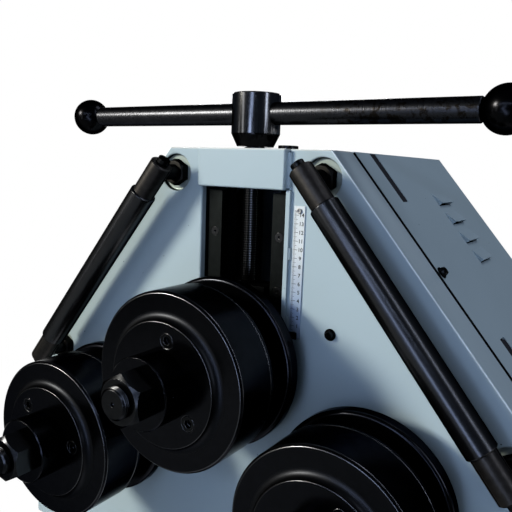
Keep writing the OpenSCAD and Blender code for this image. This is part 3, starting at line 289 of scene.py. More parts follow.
def mottled(name, colours, rough, grain_mm, specular=0.4):
    """Paint, powder coat, print or moulding: a faint mottle, with a fine grain that breaks the gloss."""
    made, tree, skin = finish(name)
    dark, light = [linear(c) for c in colours]
    place = add(tree, "ShaderNodeTexCoord", out="Object")
    mottle = add(tree, "ShaderNodeTexNoise", {"Vector": place, "Scale": 1 / (MOTTLE_MM * MM), "Detail": 5.0,
                                              "Roughness": 0.6})
    colour = add(tree, "ShaderNodeMix", {0: mottle, 6: dark, 7: light}, out=2, data_type="RGBA")
    gloss = add(tree, "ShaderNodeMapRange", {"Value": mottle, "To Min": rough[0], "To Max": rough[1]})
    grain = add(tree, "ShaderNodeTexNoise", {"Vector": place, "Scale": 1 / (grain_mm * MM), "Detail": 2.0})
    relief = add(tree, "ShaderNodeBump", {"Height": grain, "Distance": SKIN_HEIGHT_MM * MM, "Strength": 0.5})
    tree.links.new(colour, skin.inputs["Base Color"])
    tree.links.new(gloss, skin.inputs["Roughness"])
    tree.links.new(relief, skin.inputs["Normal"])
    skin.inputs["Specular IOR Level"].default_value = specular
    return made


# Floor plate enamel is a dull dark grey
dark_enamel = mottled("dark_floor_plate_enamel", ("#3a4349", "#465057"), rough=(0.4, 0.5), grain_mm=2.2)
dress("base_plate", dark_enamel, edge=1.0)

STEEL_MOTTLE_MM = 9
STEEL_RUB_MM = 4


def blackened(name, colours, rough, grain_mm=1.5, rim="#7c7c7c", grain_height_mm=0.012):
    """Oil-blackened steel: a very dark, mottled metal on which edges and curves draw bright lines."""
    # The grain is drawn coarser than the real one, which is too fine to show
    made, tree, steel = finish(name)
    dark, light = [linear(c) for c in colours]
    place = add(tree, "ShaderNodeTexCoord", out="Object")
    mottle = add(tree, "ShaderNodeTexNoise", {"Vector": place, "Scale": 1 / (STEEL_MOTTLE_MM * MM),
                                              "Detail": 5.0, "Roughness": 0.6})
    colour = add(tree, "ShaderNodeMix", {0: mottle, 6: dark, 7: light}, out=2, data_type="RGBA")
    rub = add(tree, "ShaderNodeTexNoise", {"Vector": place, "Scale": 1 / (STEEL_RUB_MM * MM), "Detail": 3.0})
    gloss = add(tree, "ShaderNodeMapRange", {"Value": rub, "To Min": rough[0], "To Max": rough[1]})
    grain = add(tree, "ShaderNodeTexNoise", {"Vector": place, "Scale": 1 / (grain_mm * MM), "Detail": 2.0})
    relief = add(tree, "ShaderNodeBump", {"Height": grain, "Distance": grain_height_mm * MM, "Strength": 0.5})
    tree.links.new(colour, steel.inputs["Base Color"])
    tree.links.new(gloss, steel.inputs["Roughness"])
    tree.links.new(relief, steel.inputs["Normal"])
    steel.inputs["Metallic"].default_value = 1.0
    steel.inputs["Specular Tint"].default_value = linear(rim)
    return made, tree, steel, place, colour


# Blackened screws look near black, with a small bright spot on each round edge
screw_black = blackened("blackened_screw_steel", ("#1c1d1f", "#2b2c2e"), rough=(0.18, 0.28))[0]


def join(shape, part, spot=(0, 0, 0), turn=Matrix.Identity(3)):
    """Closes a part, turns it, moves it by millimetres and adds it to a shape."""
    bmesh.ops.remove_doubles(part, verts=part.verts, dist=DOUBLES_MM * MM)
    bmesh.ops.recalc_face_normals(part, faces=part.faces)
    move = Matrix.Translation([c * MM for c in spot]) @ turn.to_4x4()
    bmesh.ops.transform(part, matrix=move, verts=part.verts)
    holder = bpy.data.meshes.new("holder")
    part.to_mesh(holder)
    part.free()
    shape.from_mesh(holder)
    bpy.data.meshes.remove(holder)


def turned(outline, steps=48):
    """A part spun round +Z from (radius, height) points in millimetres."""
    part = bmesh.new()
    points = [part.verts.new((radius * MM, 0, height * MM)) for radius, height in outline]
    lines = [part.edges.new(pair) for pair in zip(points, points[1:])]
    bmesh.ops.spin(part, geom=points + lines, cent=(0, 0, 0), axis=(0, 0, 1), angle=math.tau, steps=steps,
                   use_merge=True)
    return part


def plate(width, height, thickness, corner, edge):
    """A sheet panel in the XY plane with round corners and a rounded outer edge; its back lies at Z 0."""
    part = bmesh.new()
    box = Matrix.Diagonal((width * MM, height * MM, thickness * MM, 1))
    bmesh.ops.create_cube(part, size=1, matrix=Matrix.Translation((0, 0, thickness * MM / 2)) @ box)
    upright = [e for e in part.edges if abs(e.verts[0].co.z - e.verts[1].co.z) > 0.5 * thickness * MM]
    bmesh.ops.bevel(part, geom=upright, offset=corner * MM, affect="EDGES", segments=6, profile=0.5,
                    material=-1)
    front = [e for e in part.edges if min(v.co.z for v in e.verts) > 0.9 * thickness * MM]
    bmesh.ops.bevel(part, geom=front, offset=edge * MM, affect="EDGES", segments=3, profile=0.5, material=-1)
    return part


def piece_of(name, shape, made, body, sharp=32):
    """Turns a shape into a piece with its finish, on its body."""
    mesh = bpy.data.meshes.new(name)
    shape.to_mesh(mesh)
    shape.free()
    mesh.polygons.foreach_set("use_smooth", [True] * len(mesh.polygons))
    mesh.set_sharp_from_angle(angle=math.radians(sharp))
    mesh.materials.append(made)
    piece = bpy.data.objects.new(name, mesh)
    scene.collection.objects.link(piece)
    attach(piece, body)
    return piece


OUT_OF_FRONT = Matrix.Rotation(math.radians(90), 3, "X")
STAND_FRONT_Y = -178
DOOR_X = -135
DOOR_Z = 320
DOOR_WIDTH = 400
DOOR_HEIGHT = 490
DOOR_SHEET = 2
door = bmesh.new()
join(door, plate(DOOR_WIDTH, DOOR_HEIGHT, DOOR_SHEET, corner=6, edge=0.8), (DOOR_X, STAND_FRONT_Y, DOOR_Z),
     OUT_OF_FRONT)
piece_of("stand_door", door, sheet_enamel, "frame")

HINGE_OUTLINE = [(0, -32), (4, -32), (5, -31), (5, -11.2), (4.2, -10.6), (5, -10), (5, 10), (4.2, 10.6),
                 (5, 11.2), (5, 31), (4, 32), (0, 32)]
HINGE_X = DOOR_X - DOOR_WIDTH / 2 - 4
HINGE_Y = STAND_FRONT_Y - 4.6
HINGE_RISE = 165
hinges = bmesh.new()
for rise in (-HINGE_RISE, HINGE_RISE):
    join(hinges, turned(HINGE_OUTLINE, 24), (HINGE_X, HINGE_Y, DOOR_Z + rise))
piece_of("door_hinges", hinges, screw_black, "frame")

LOCK_OUTLINE = [(0, 1.5), (7, 1.5), (7.6, 2), (7.6, 6), (8.6, 6.6), (13, 6.2), (15, 4.4), (15, 0), (0, 0)]
BIT_OUTLINE = [(0, 5.4), (3, 5.4), (3.6, 4.8), (3.6, 1), (0, 1)]
LOCK_SPOT = (DOOR_X + DOOR_WIDTH / 2 - 28, STAND_FRONT_Y - DOOR_SHEET, DOOR_Z)
lock = bmesh.new()
join(lock, turned(LOCK_OUTLINE, 48), LOCK_SPOT, OUT_OF_FRONT)
join(lock, turned(BIT_OUTLINE, 4), LOCK_SPOT, OUT_OF_FRONT)
piece_of("door_lock", lock, screw_black, "frame")

# Drive
# Inside the housing a thick rear plate on tie bars carries the bearings, the roll gears and the
# geared motor. The gears are cut and left bare; gearbox and motor are cast and painted dark blue.
TONE_MM = 14
SCUFF_MM = 3
TOOL_MARK_HEIGHT_MM = 0.01


def machined(name, colours, rough, grain_mm=0.8):
    """Bare machined metal: bright, a little uneven in tone, with tool marks drawn coarser than real ones."""
    made, tree, metal = finish(name)
    dark, light = [linear(c) for c in colours]
    place = add(tree, "ShaderNodeTexCoord", out="Object")
    tone = add(tree, "ShaderNodeTexNoise", {"Vector": place, "Scale": 1 / (TONE_MM * MM), "Detail": 4.0})
    colour = add(tree, "ShaderNodeMix", {0: tone, 6: dark, 7: light}, out=2, data_type="RGBA")
    rub = add(tree, "ShaderNodeTexNoise", {"Vector": place, "Scale": 1 / (SCUFF_MM * MM), "Detail": 3.0})
    gloss = add(tree, "ShaderNodeMapRange", {"Value": rub, "To Min": rough[0], "To Max": rough[1]})
    marks = add(tree, "ShaderNodeTexNoise", {"Vector": place, "Scale": 1 / (grain_mm * MM), "Detail": 2.0})
    relief = add(tree, "ShaderNodeBump", {"Height": marks, "Distance": TOOL_MARK_HEIGHT_MM * MM,
                                          "Strength": 0.4})
    tree.links.new(colour, metal.inputs["Base Color"])
    tree.links.new(gloss, metal.inputs["Roughness"])
    tree.links.new(relief, metal.inputs["Normal"])
    metal.inputs["Metallic"].default_value = 1.0
    return made


# Motor enamel is a deep blue, bare steel a pale grey shine, gear steel darker and duller,
# and blackened tie steel has almost no shine
motor_enamel = mottled("cast_motor_enamel", ("#344454", "#42566a"), rough=(0.35, 0.45), grain_mm=2.2)
bare_steel = machined("bare_machined_steel", ("#8d8e90", "#a9abad"), rough=(0.26, 0.38))
gear_steel = machined("cut_gear_steel", ("#66676a", "#7d7f82"), rough=(0.3, 0.45))
tie_black = blackened("blackened_tie_steel", ("#17181a", "#222326"), rough=(0.4, 0.55))[0]
dress("rear_plate", dark_enamel, edge=0.8)
dress("drive_motor", motor_enamel, edge=1.0)
dress("gearbox", motor_enamel, edge=2.0)
dress("tie_bars", tie_black, edge=0.5)
for name in ("roll_shaft_bearings", "left_keys", "right_keys"):
    dress(name, bare_steel, edge=0.2)
for name in ("left_gear", "right_gear", "drive_pinion"):
    dress(name, gear_steel)

# Front frame
# A deep-rimmed face welded from thick plate and sprayed with the same enamel. The slot's depth is
# painted near black as painted shade, and the stud pockets are spot-faced bright through the paint, with
# painted shade on their walls.
PLATE_Y = -198
TOP_EDGE_Z = 1250
SHOULDER = math.radians(40)
SHOULDER_TOP = (116, TOP_EDGE_Z)
SHOULDER_EDGE_HIGHLIGHT = "#d6e2ea"
EDGE_HIGHLIGHT_START = 1.8
EDGE_HIGHLIGHT_FULL = 1.4
EDGE_HIGHLIGHT_DEPTH = 1.1
SLOT_HALF = 62.7
SLOT_FLOOR_Z = 920
PAINT_IN_SLOT = 8.5
SLOT_SHADE_BLACK = "#0a0b0c"
UPPER_STUD = (106, 1218)
LOWER_STUD = (329.4, 942.1)
POCKET_RADIUS = 23.8
POCKET_LIP = 0.8
POCKET_DEPTH = 5.2
POCKET_FLOOR = "#8b9693"
POCKET_SHINE = 0.3
POCKET_WALL_SHADE = "#1a2022"
# Frame enamel: a smooth light face, painted shade in the slot's depth and on the pocket walls, and pale
# painted highlights on its top and shoulder edges
frame_enamel, tree, paint, place, colour = enamel("front_frame_enamel", specular=0.04, rough=(0.3, 0.42),
                                                  top_z=TOP_EDGE_Z)
axes = add(tree, "ShaderNodeSeparateXYZ", {0: place}).node.outputs
across = add(tree, "ShaderNodeMath", {0: axes["X"]}, operation="ABSOLUTE")
half_view = add(tree, "ShaderNodeCombineXYZ", {"X": across, "Z": axes["Z"]})
# The slot's depth behind its painted lip is painted near black as painted shade
in_slot = add(tree, "ShaderNodeMath", {0: across, 1: SLOT_HALF * MM}, operation="LESS_THAN")
above = add(tree, "ShaderNodeMath", {0: axes["Z"], 1: SLOT_FLOOR_Z * MM}, operation="GREATER_THAN")
deep = add(tree, "ShaderNodeMath", {0: axes["Y"], 1: (PLATE_Y + PAINT_IN_SLOT) * MM},
           operation="GREATER_THAN")
painted_slot_shade = add(tree, "ShaderNodeMath", {0: in_slot, 1: above}, operation="MULTIPLY")
painted_slot_shade = add(tree, "ShaderNodeMath", {0: painted_slot_shade, 1: deep}, operation="MULTIPLY")
colour = add(tree, "ShaderNodeMix", {0: painted_slot_shade, 6: colour, 7: linear(SLOT_SHADE_BLACK)}, out=2,
             data_type="RGBA")
upper, lower = [add(tree, "ShaderNodeVectorMath", {0: half_view, 1: (x * MM, 0, z * MM)}, out="Value",
                    operation="DISTANCE") for x, z in (UPPER_STUD, LOWER_STUD)]
nearest = add(tree, "ShaderNodeMath", {0: upper, 1: lower}, operation="MINIMUM")
at_stud = add(tree, "ShaderNodeMath", {0: nearest, 1: POCKET_RADIUS * MM}, operation="LESS_THAN")
sunk = add(tree, "ShaderNodeMath", {0: axes["Y"], 1: (PLATE_Y + POCKET_LIP) * MM}, operation="GREATER_THAN")
pocket = add(tree, "ShaderNodeMath", {0: at_stud, 1: sunk}, operation="MULTIPLY")
bottom = add(tree, "ShaderNodeMath", {0: axes["Y"], 1: (PLATE_Y + POCKET_DEPTH) * MM},
             operation="GREATER_THAN")
bright = add(tree, "ShaderNodeMath", {0: pocket, 1: bottom}, operation="MULTIPLY")
# The pocket walls are painted dark as painted shade; the floors are bright spot-faced metal
colour = add(tree, "ShaderNodeMix", {0: pocket, 6: colour, 7: linear(POCKET_WALL_SHADE)}, out=2, data_type="RGBA")
colour = add(tree, "ShaderNodeMix", {0: bright, 6: colour, 7: linear(POCKET_FLOOR)}, out=2, data_type="RGBA")
# A thin pale line along the shoulder's front edge is a painted highlight
outward = (math.cos(SHOULDER), 0, math.sin(SHOULDER))
shoulder_at = SHOULDER_TOP[0] * outward[0] + SHOULDER_TOP[1] * outward[2]
rise = add(tree, "ShaderNodeVectorMath", {0: half_view, 1: outward}, out="Value", operation="DOT_PRODUCT")
edge = add(tree, "ShaderNodeMapRange", {"Value": rise, "From Min": (shoulder_at - EDGE_HIGHLIGHT_START) * MM,
                                        "From Max": (shoulder_at - EDGE_HIGHLIGHT_FULL) * MM})
front = add(tree, "ShaderNodeMath", {0: axes["Y"], 1: (PLATE_Y + EDGE_HIGHLIGHT_DEPTH) * MM}, operation="LESS_THAN")
edge_wear_and_highlight = add(tree, "ShaderNodeMath", {0: edge, 1: front}, operation="MULTIPLY")
colour = add(tree, "ShaderNodeMix", {0: edge_wear_and_highlight, 6: colour, 7: linear(SHOULDER_EDGE_HIGHLIGHT)}, out=2, data_type="RGBA")
shine = add(tree, "ShaderNodeMath", {0: bright, 1: POCKET_SHINE}, operation="MULTIPLY")
tree.links.new(colour, paint.inputs["Base Color"])
tree.links.new(shine, paint.inputs["Metallic"])
dress("front_frame", frame_enamel, edge=2.3, segments=4, clamp=False)
# The block's enamel is the same paint, a little glossier, with the same painted highlight on its top edge
block_enamel = enamel("bridge_block_enamel", specular=0.12, rough=(0.3, 0.42), top_z=TOP_EDGE_Z)[0]
dress("bridge_block", block_enamel, edge=2.2, segments=4, clamp=False)
dress("slot_edge_strip", block_enamel, edge=1.0, segments=3)

WELD_RADIUS = 3.2
WELD_RIPPLE = 0.5
WELD_TIP = 1
RIPPLE_PITCH = 2.2
RIPPLES = 19
WELD_SINK = 0.8
WELD_FOOT_Z = 1205
weld_outline = [(WELD_RADIUS + WELD_RIPPLE * (i % 2), WELD_TIP + RIPPLE_PITCH * i) for i in range(RIPPLES)]
weld_outline = [(0, 0)] + weld_outline + [(0, weld_outline[-1][1] + WELD_TIP)]
weld = bmesh.new()
join(weld, turned(weld_outline, 24), (SLOT_HALF + WELD_SINK, PLATE_Y - WELD_SINK, WELD_FOOT_Z))
piece_of("bridge_weld", weld, block_enamel, "frame")

# Covers
# Folded sheet covers close the housing behind the frame, with pressed louvres and long notches.
# Dark matt pieces are painted shade: grey in the notches, black in the seams and behind the
# louvres; the back has a screwed inspection panel.
for name in ("left_side_cover", "right_side_cover", "top_back_cover"):
    dress(name, sheet_enamel, edge=1.2, segments=3)
dress("cover_screws", screw_black, edge=0.2)
dress("lock_screw", screw_black, edge=0.4)

# These dark matt pieces are painted shade, the notch pieces greyer than the seam and louvre pieces
shade_rubber = mottled("black_shade_rubber", ("#0b0b0c", "#131314"), rough=(0.7, 0.85), grain_mm=0.9,
                 specular=0.0)
notch_shade_rubber = mottled("grey_notch_shade_rubber", ("#2a2b30", "#34353a"), rough=(0.7, 0.85), grain_mm=0.9,
                      specular=0.0)


def on_shoulder(shape, part, side, slope, sink, y):
    """Lays a part on one shoulder, a way down its slope and sunk below it, in millimetres."""
    x = SHOULDER_TOP[0] + slope * math.sin(SHOULDER) - sink * math.cos(SHOULDER)
    z = SHOULDER_TOP[1] - slope * math.cos(SHOULDER) - sink * math.sin(SHOULDER)
    join(shape, part, (side * x, y, z), Matrix.Rotation(side * (math.pi / 2 - SHOULDER), 3, "Y"))


# Grey sheets and ribs fill the notches as painted shade
NOTCH_Y = -86
NOTCH_SHADE_SIZE = (80, 34, 3)
NOTCH_SHADE_SLOPES = (42.5, 307.5)
NOTCH_SHADE_SINK = 7
RIB_SIZE = (74.2, 17.6, 3)
RIB_SLOPES = (37.5, 307.5)
RIB_SINK = 3.3
notch_shade = bmesh.new()
for side in (-1, 1):
    for slope in NOTCH_SHADE_SLOPES:
        on_shoulder(notch_shade, plate(*NOTCH_SHADE_SIZE, corner=3, edge=0.8), side, slope, NOTCH_SHADE_SINK, NOTCH_Y)
    for slope in RIB_SLOPES:
        on_shoulder(notch_shade, plate(*RIB_SIZE, corner=3, edge=0.8), side, slope, RIB_SINK, NOTCH_Y)
piece_of("notch_shade_seals", notch_shade, notch_shade_rubber, "frame")

# Black pads behind the louvres are painted shade
LOUVRES_Y = 58.5
LOUVRE_SHADE_SIZE = (160, 76, 6)
LOUVRE_SHADE_SLOPE = 122
LOUVRE_SHADE_SINK = 14
louvre_shade = bmesh.new()
for side in (-1, 1):
    on_shoulder(louvre_shade, plate(*LOUVRE_SHADE_SIZE, corner=6, edge=1.5), side, LOUVRE_SHADE_SLOPE, LOUVRE_SHADE_SINK, LOUVRES_Y)
piece_of("louvre_shade_pads", louvre_shade, shade_rubber, "frame")

# Black cords in the seams are painted shade
SEAM_Y = -142.75
SEAM_SHADE_SIZE = (360, 2.3, 4)
SEAM_SHADE_SLOPE = 182
SEAM_SHADE_SINK = 2.7
seam_shade = bmesh.new()
for side in (-1, 1):
    on_shoulder(seam_shade, plate(*SEAM_SHADE_SIZE, corner=0.6, edge=0.6), side, SEAM_SHADE_SLOPE, SEAM_SHADE_SINK, SEAM_Y)
piece_of("seam_shade_cords", seam_shade, shade_rubber, "frame")

BACK_Y = 198
PANEL_Z = 850
PANEL_SIZE = (430, 320)
PANEL_SHEET = 1.5
PANEL_SCREWS_X = (-200, 0, 200)
PANEL_SCREW_RISE = 145
OUT_OF_BACK = Matrix.Rotation(math.pi, 3, "Z") @ OUT_OF_FRONT
BUTTON_OUTLINE = [(0, 1.4), (1.8, 1.4), (2, 3.1), (3.4, 2.7), (4.8, 1.6), (5.2, 0.4), (5.2, 0), (0, 0)]
back_panel = bmesh.new()
join(back_panel, plate(*PANEL_SIZE, PANEL_SHEET, corner=8, edge=0.6), (0, BACK_Y, PANEL_Z), OUT_OF_BACK)
piece_of("inspection_panel", back_panel, sheet_enamel, "frame")
panel_screws = bmesh.new()
for x in PANEL_SCREWS_X:
    for rise in (-PANEL_SCREW_RISE, PANEL_SCREW_RISE):
        spot = (x, BACK_Y + PANEL_SHEET, PANEL_Z + rise)
        join(panel_screws, turned(BUTTON_OUTLINE, 24), spot, OUT_OF_BACK)
piece_of("inspection_panel_screws", panel_screws, screw_black, "frame")

# Slide
# Blackened steel gibs are screwed to the ways with countersunk screws. The dark carriage runs
# between them on its bronze bushes; a split blackened plate holds the spindle's head in it.

# Gibs and carriage are dull and almost black, the screws worn a little lighter, the bronze warm brown
gib_black = blackened("blackened_gib_steel", ("#121414", "#202324"), rough=(0.32, 0.46))[0]
gib_screw_steel = blackened("worn_gib_screw_steel", ("#242527", "#3a3b3d"), rough=(0.24, 0.34))[0]
carriage_black = blackened("blackened_carriage_steel", ("#0d0e0f", "#151617"), rough=(0.4, 0.55))[0]
bearing_bronze = machined("bearing_bronze", ("#8a6433", "#a87c43"), rough=(0.3, 0.42))
dress("slide_gibs", gib_black, edge=0.6)
dress("gib_screws", gib_screw_steel, edge=0.5, segments=3)
dress("carriage", carriage_black, edge=1.0)
dress("spindle_retainer", carriage_black, edge=0.2)
for name in ("spindle_nut", "carriage_bushes"):
    dress(name, bearing_bronze, edge=0.4)

# Scale
# A satin anodised aluminium strip, printed with black centimetre numbers and millimetre marks
# and screwed on beside the slot. A black pointer on the carriage reads it.
ALUMINIUM_FOOT_SHADE = "#8ea0b9"
FOOT_SHADE_START_Z = 1135
FOOT_SHADE_FULL_Z = 1075
# Anodised aluminium is a soft near-white, painted bluer and darker towards its foot as painted shade
scale_aluminium = mottled("satin_anodised_aluminium", ("#c3cbd1", "#d0d8dd"), rough=(0.45, 0.55),
                          grain_mm=0.9, specular=0.3)
tree = scale_aluminium.node_tree
skin = tree.nodes["Principled BSDF"]
unshaded = skin.inputs["Base Color"].links[0].from_socket
height = add(tree, "ShaderNodeSeparateXYZ", {0: add(tree, "ShaderNodeTexCoord", out="Object")}, out="Z")
foot_shade = add(tree, "ShaderNodeMapRange",
           {"Value": height, "From Min": FOOT_SHADE_START_Z * MM, "From Max": FOOT_SHADE_FULL_Z * MM})
colour = add(tree, "ShaderNodeMix", {0: foot_shade, 6: unshaded, 7: linear(ALUMINIUM_FOOT_SHADE)}, out=2, data_type="RGBA")
tree.links.new(colour, skin.inputs["Base Color"])
dress("scale_plate", scale_aluminium, edge=0.1)
dress("scale_screws", bare_steel, edge=0.2)
dress("scale_pointer", screw_black, edge=0.3)

SCALE_FRONT_Y = -199.5
SCALE_LEFT_X = 73.6
NUMBER_X = 83.1
NUMBER_SIZE = 6.4
READING_Z = 1131.5
READING = 9.6
INK_MM = 0.1
BOLD_MM = 0.12
CENTIMETRE_MARK = (5.6, 0.55)
HALF_MARK = (4.2, 0.4)
MILLIMETRE_MARK = (2.6, 0.3)
# Printing ink is a flat black
ink = mottled("black_printing_ink", ("#141618", "#1e2124"), rough=(0.5, 0.6), grain_mm=0.6, specular=0.3)
marks = bmesh.new()
for count in range(5, 146):
    length, line = CENTIMETRE_MARK if count % 10 == 0 else HALF_MARK if count % 5 == 0 else MILLIMETRE_MARK
    tick = bmesh.new()
    bmesh.ops.create_cube(tick, size=1, matrix=Matrix.Diagonal((length * MM, INK_MM * MM, line * MM, 1)))
    join(marks, tick, (SCALE_LEFT_X + length / 2, SCALE_FRONT_Y, READING_Z + count - READING * 10))
for number in range(1, 15):
    letters = bpy.data.curves.new("scale_number", "FONT")
    letters.body = str(number)
    letters.size = NUMBER_SIZE * MM
    letters.align_x = "CENTER"
    letters.align_y = "CENTER"
    letters.extrude = INK_MM * MM / 2
    letters.offset = BOLD_MM * MM
    holder = bpy.data.objects.new("scale_number", letters)
    printed = bmesh.new()
    printed.from_mesh(bpy.data.meshes.new_from_object(holder))
    bpy.data.objects.remove(holder)
    join(marks, printed, (NUMBER_X, SCALE_FRONT_Y, READING_Z + 10 * (number - READING)), OUT_OF_FRONT)
piece_of("scale_marks", marks, ink, "frame")

# Spindle and handle
# The screw is turned with a 3 mm trapezoidal thread and a captive head. The hub is turned with a
# cone below and cross-drilled for the rod, all oil-blackened; the ball knobs are moulded phenolic.


def thread(root, crest, pitch, turns, steps):
    """A screw thread's ridge round +Z, from a trapezoid swept along the helix and closed at its ends."""
    part = bmesh.new()
    outline = [(root, 0.12), (crest, 0.34), (crest, 0.6), (root, 0.82)]
    points = [part.verts.new((radius * MM, 0, share * pitch * MM)) for radius, share in outline]
    lines = [part.edges.new(pair) for pair in zip(points, points[1:] + points[:1])]
    bmesh.ops.spin(part, geom=points + lines, cent=(0, 0, 0), axis=(0, 0, 1),
                   dvec=(0, 0, pitch / steps * MM), angle=math.tau * turns, steps=int(steps * turns))
    bmesh.ops.holes_fill(part, edges=[e for e in part.edges if e.is_boundary], sides=4)
    return part


SPINDLE_Y = -174.5
THREAD_FOOT = 1085.5
CREST_START = 12.4
CREST_FULL = 13.4
ROOT_SHADE_BLACK = "#0a0a0a"
SPINDLE_OUTLINE = [(0, 1053.6), (14.2, 1053.6), (15, 1054.4), (15, 1072.8), (14.2, 1073.6), (9, 1073.6),
                   (9, 1084.4), (10.9, 1084.4), (11.9, 1085.4), (11.9, 1251.5), (10, 1252.5), (10, 1273.5),
                   (9, 1274.5), (0, 1274.5)]
# Oiled thread steel shows a bright dash on every crest, and its roots are painted near black as painted shade
thread_steel, tree, steel, place, colour = blackened("oiled_thread_steel", ("#4a4a4b", "#5e5e5f"),
                                                     rough=(0.16, 0.22))
from_axis = add(tree, "ShaderNodeVectorMath", {0: place, 1: (0, SPINDLE_Y * MM, 0)}, operation="SUBTRACT")
from_axis = add(tree, "ShaderNodeVectorMath", {0: from_axis, 1: (1, 1, 0)}, operation="MULTIPLY")
radius = add(tree, "ShaderNodeVectorMath", {0: from_axis}, out="Value", operation="LENGTH")
crest = add(tree, "ShaderNodeMapRange",
            {"Value": radius, "From Min": CREST_START * MM, "From Max": CREST_FULL * MM})
colour = add(tree, "ShaderNodeMix", {0: crest, 6: linear(ROOT_SHADE_BLACK), 7: colour}, out=2, data_type="RGBA")
tree.links.new(colour, steel.inputs["Base Color"])
spindle = bmesh.new()
join(spindle, turned(SPINDLE_OUTLINE, 48), (0, SPINDLE_Y, 0))
join(spindle, thread(root=11.6, crest=13.5, pitch=3, turns=55, steps=36), (0, SPINDLE_Y, THREAD_FOOT))
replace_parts(piece_of("threaded_spindle", spindle, thread_steel, "spindle"), "spindle")

CONE_TOP = 1268
CONE_BLACK = "#1c1c1d"
# The hub's turned side draws upright streaks of light, and its cone stays a dull black
hub_steel, tree, steel, place, colour = blackened("blackened_hub_steel", ("#525355", "#6c6d70"),
                                                  rough=(0.12, 0.2), grain_mm=0.7, grain_height_mm=0.04)
height = add(tree, "ShaderNodeSeparateXYZ", {0: place}, out="Z")
cone = add(tree, "ShaderNodeMath", {0: height, 1: CONE_TOP * MM}, operation="LESS_THAN")
colour = add(tree, "ShaderNodeMix", {0: cone, 6: colour, 7: linear(CONE_BLACK)}, out=2, data_type="RGBA")
tree.links.new(colour, steel.inputs["Base Color"])
dress("handle_hub", hub_steel, edge=0.8, segments=3)

TURNING_MM = 1.6
ROD_MARK_HEIGHT_MM = 0.12
BLOTCH_MM = 9
HELD_START_X = 70
HELD_FULL_X = 130
HELD_BROWN = "#1f1c19"
# The worn rod carries one long line of light, ragged from its turning marks and broken by brown
# patches where it is held. Turning marks are drawn coarser than real here and on bars and rolls
rod_steel, tree, steel, place, colour = blackened("worn_black_rod_steel", ("#2a2b2e", "#3d3e43"),
                                                  rough=(0.22, 0.36), grain_mm=0.8)
reach = add(tree, "ShaderNodeSeparateXYZ", {0: place}, out="X")
marks = add(tree, "ShaderNodeTexNoise", {"W": reach, "Scale": 1 / (TURNING_MM * MM), "Detail": 3.0},
            noise_dimensions="1D")
relief = add(tree, "ShaderNodeBump", {"Height": marks, "Distance": ROD_MARK_HEIGHT_MM * MM, "Strength": 1.0})
blotch = add(tree, "ShaderNodeTexNoise", {"Vector": place, "Scale": 1 / (BLOTCH_MM * MM), "Detail": 7.0,
                                          "Roughness": 0.7})
blotch = add(tree, "ShaderNodeMapRange", {"Value": blotch, "From Min": 0.5, "From Max": 0.56})
held = add(tree, "ShaderNodeMapRange",
           {"Value": reach, "From Min": HELD_START_X * MM, "From Max": HELD_FULL_X * MM})
worn = add(tree, "ShaderNodeMath", {0: blotch, 1: held}, operation="MULTIPLY")
colour = add(tree, "ShaderNodeMix", {0: worn, 6: colour, 7: linear(HELD_BROWN)}, out=2, data_type="RGBA")
tree.links.new(colour, steel.inputs["Base Color"])
tree.links.new(relief, steel.inputs["Normal"])
dress("handle_rod", rod_steel, edge=0.5)
# Moulded phenolic is a deep polished black, with a soft point of light on each ball
phenolic = blackened("black_moulded_phenolic", ("#141416", "#18181a"), rough=(0.19, 0.22), grain_mm=4.0,
                     rim="#505050")[0]
dress("handle_knobs", phenolic, edge=0.3)

# Guide bars
# Each bar is turned from one black drawn bar, with thinner, stained ends that are cross-bored for
# the studs. A socket screw in each end face clamps the stud, and a nut locks it in its pocket.
BAR_SLOPE = math.radians(39)
BAR_MIDDLE_HALF = 143.2
BAR_MARK_HEIGHT_MM = 0.02
BAR_STAIN_MM = 6
BAR_END_DARK = "#1c1b1b"
BAR_END_LIGHT = "#454342"
BAR_ROUGH = 0.26
BAR_END_ROUGH = 0.38
BAR_END_METAL = 0.92
# The drawn middle carries long streaks of light; the ends are duller and mottled
bar_black, tree, steel, place, colour = blackened("black_drawn_bar", ("#3b3c3f", "#46474a"),
                                                  rough=(0.22, 0.34))
axes = add(tree, "ShaderNodeSeparateXYZ", {0: place}).node.outputs
across = add(tree, "ShaderNodeMath", {0: axes["X"]}, operation="ABSOLUTE")
half_view = add(tree, "ShaderNodeCombineXYZ", {"X": across, "Z": axes["Z"]})
middle = [(a + b) / 2 * MM for a, b in zip(UPPER_STUD, LOWER_STUD)]
from_middle = add(tree, "ShaderNodeVectorMath", {0: half_view, 1: (middle[0], 0, middle[1])},
                  operation="SUBTRACT")
bar_axis = (math.sin(BAR_SLOPE), 0, -math.cos(BAR_SLOPE))
along = add(tree, "ShaderNodeVectorMath", {0: from_middle, 1: bar_axis}, out="Value",
            operation="DOT_PRODUCT")
marks = add(tree, "ShaderNodeTexNoise", {"W": along, "Scale": 1 / (TURNING_MM * MM), "Detail": 3.0},
            noise_dimensions="1D")
relief = add(tree, "ShaderNodeBump", {"Height": marks, "Distance": BAR_MARK_HEIGHT_MM * MM, "Strength": 0.6})
along = add(tree, "ShaderNodeMath", {0: along}, operation="ABSOLUTE")
ends = add(tree, "ShaderNodeMath", {0: along, 1: BAR_MIDDLE_HALF * MM}, operation="GREATER_THAN")
stain = add(tree, "ShaderNodeTexNoise", {"Vector": place, "Scale": 1 / (BAR_STAIN_MM * MM), "Detail": 6.0,
                                         "Roughness": 0.7})
stained = add(tree, "ShaderNodeMix", {0: stain, 6: linear(BAR_END_DARK), 7: linear(BAR_END_LIGHT)}, out=2,
              data_type="RGBA")
colour = add(tree, "ShaderNodeMix", {0: ends, 6: colour, 7: stained}, out=2, data_type="RGBA")
metal = add(tree, "ShaderNodeMapRange", {"Value": ends, "To Min": 1.0, "To Max": BAR_END_METAL})
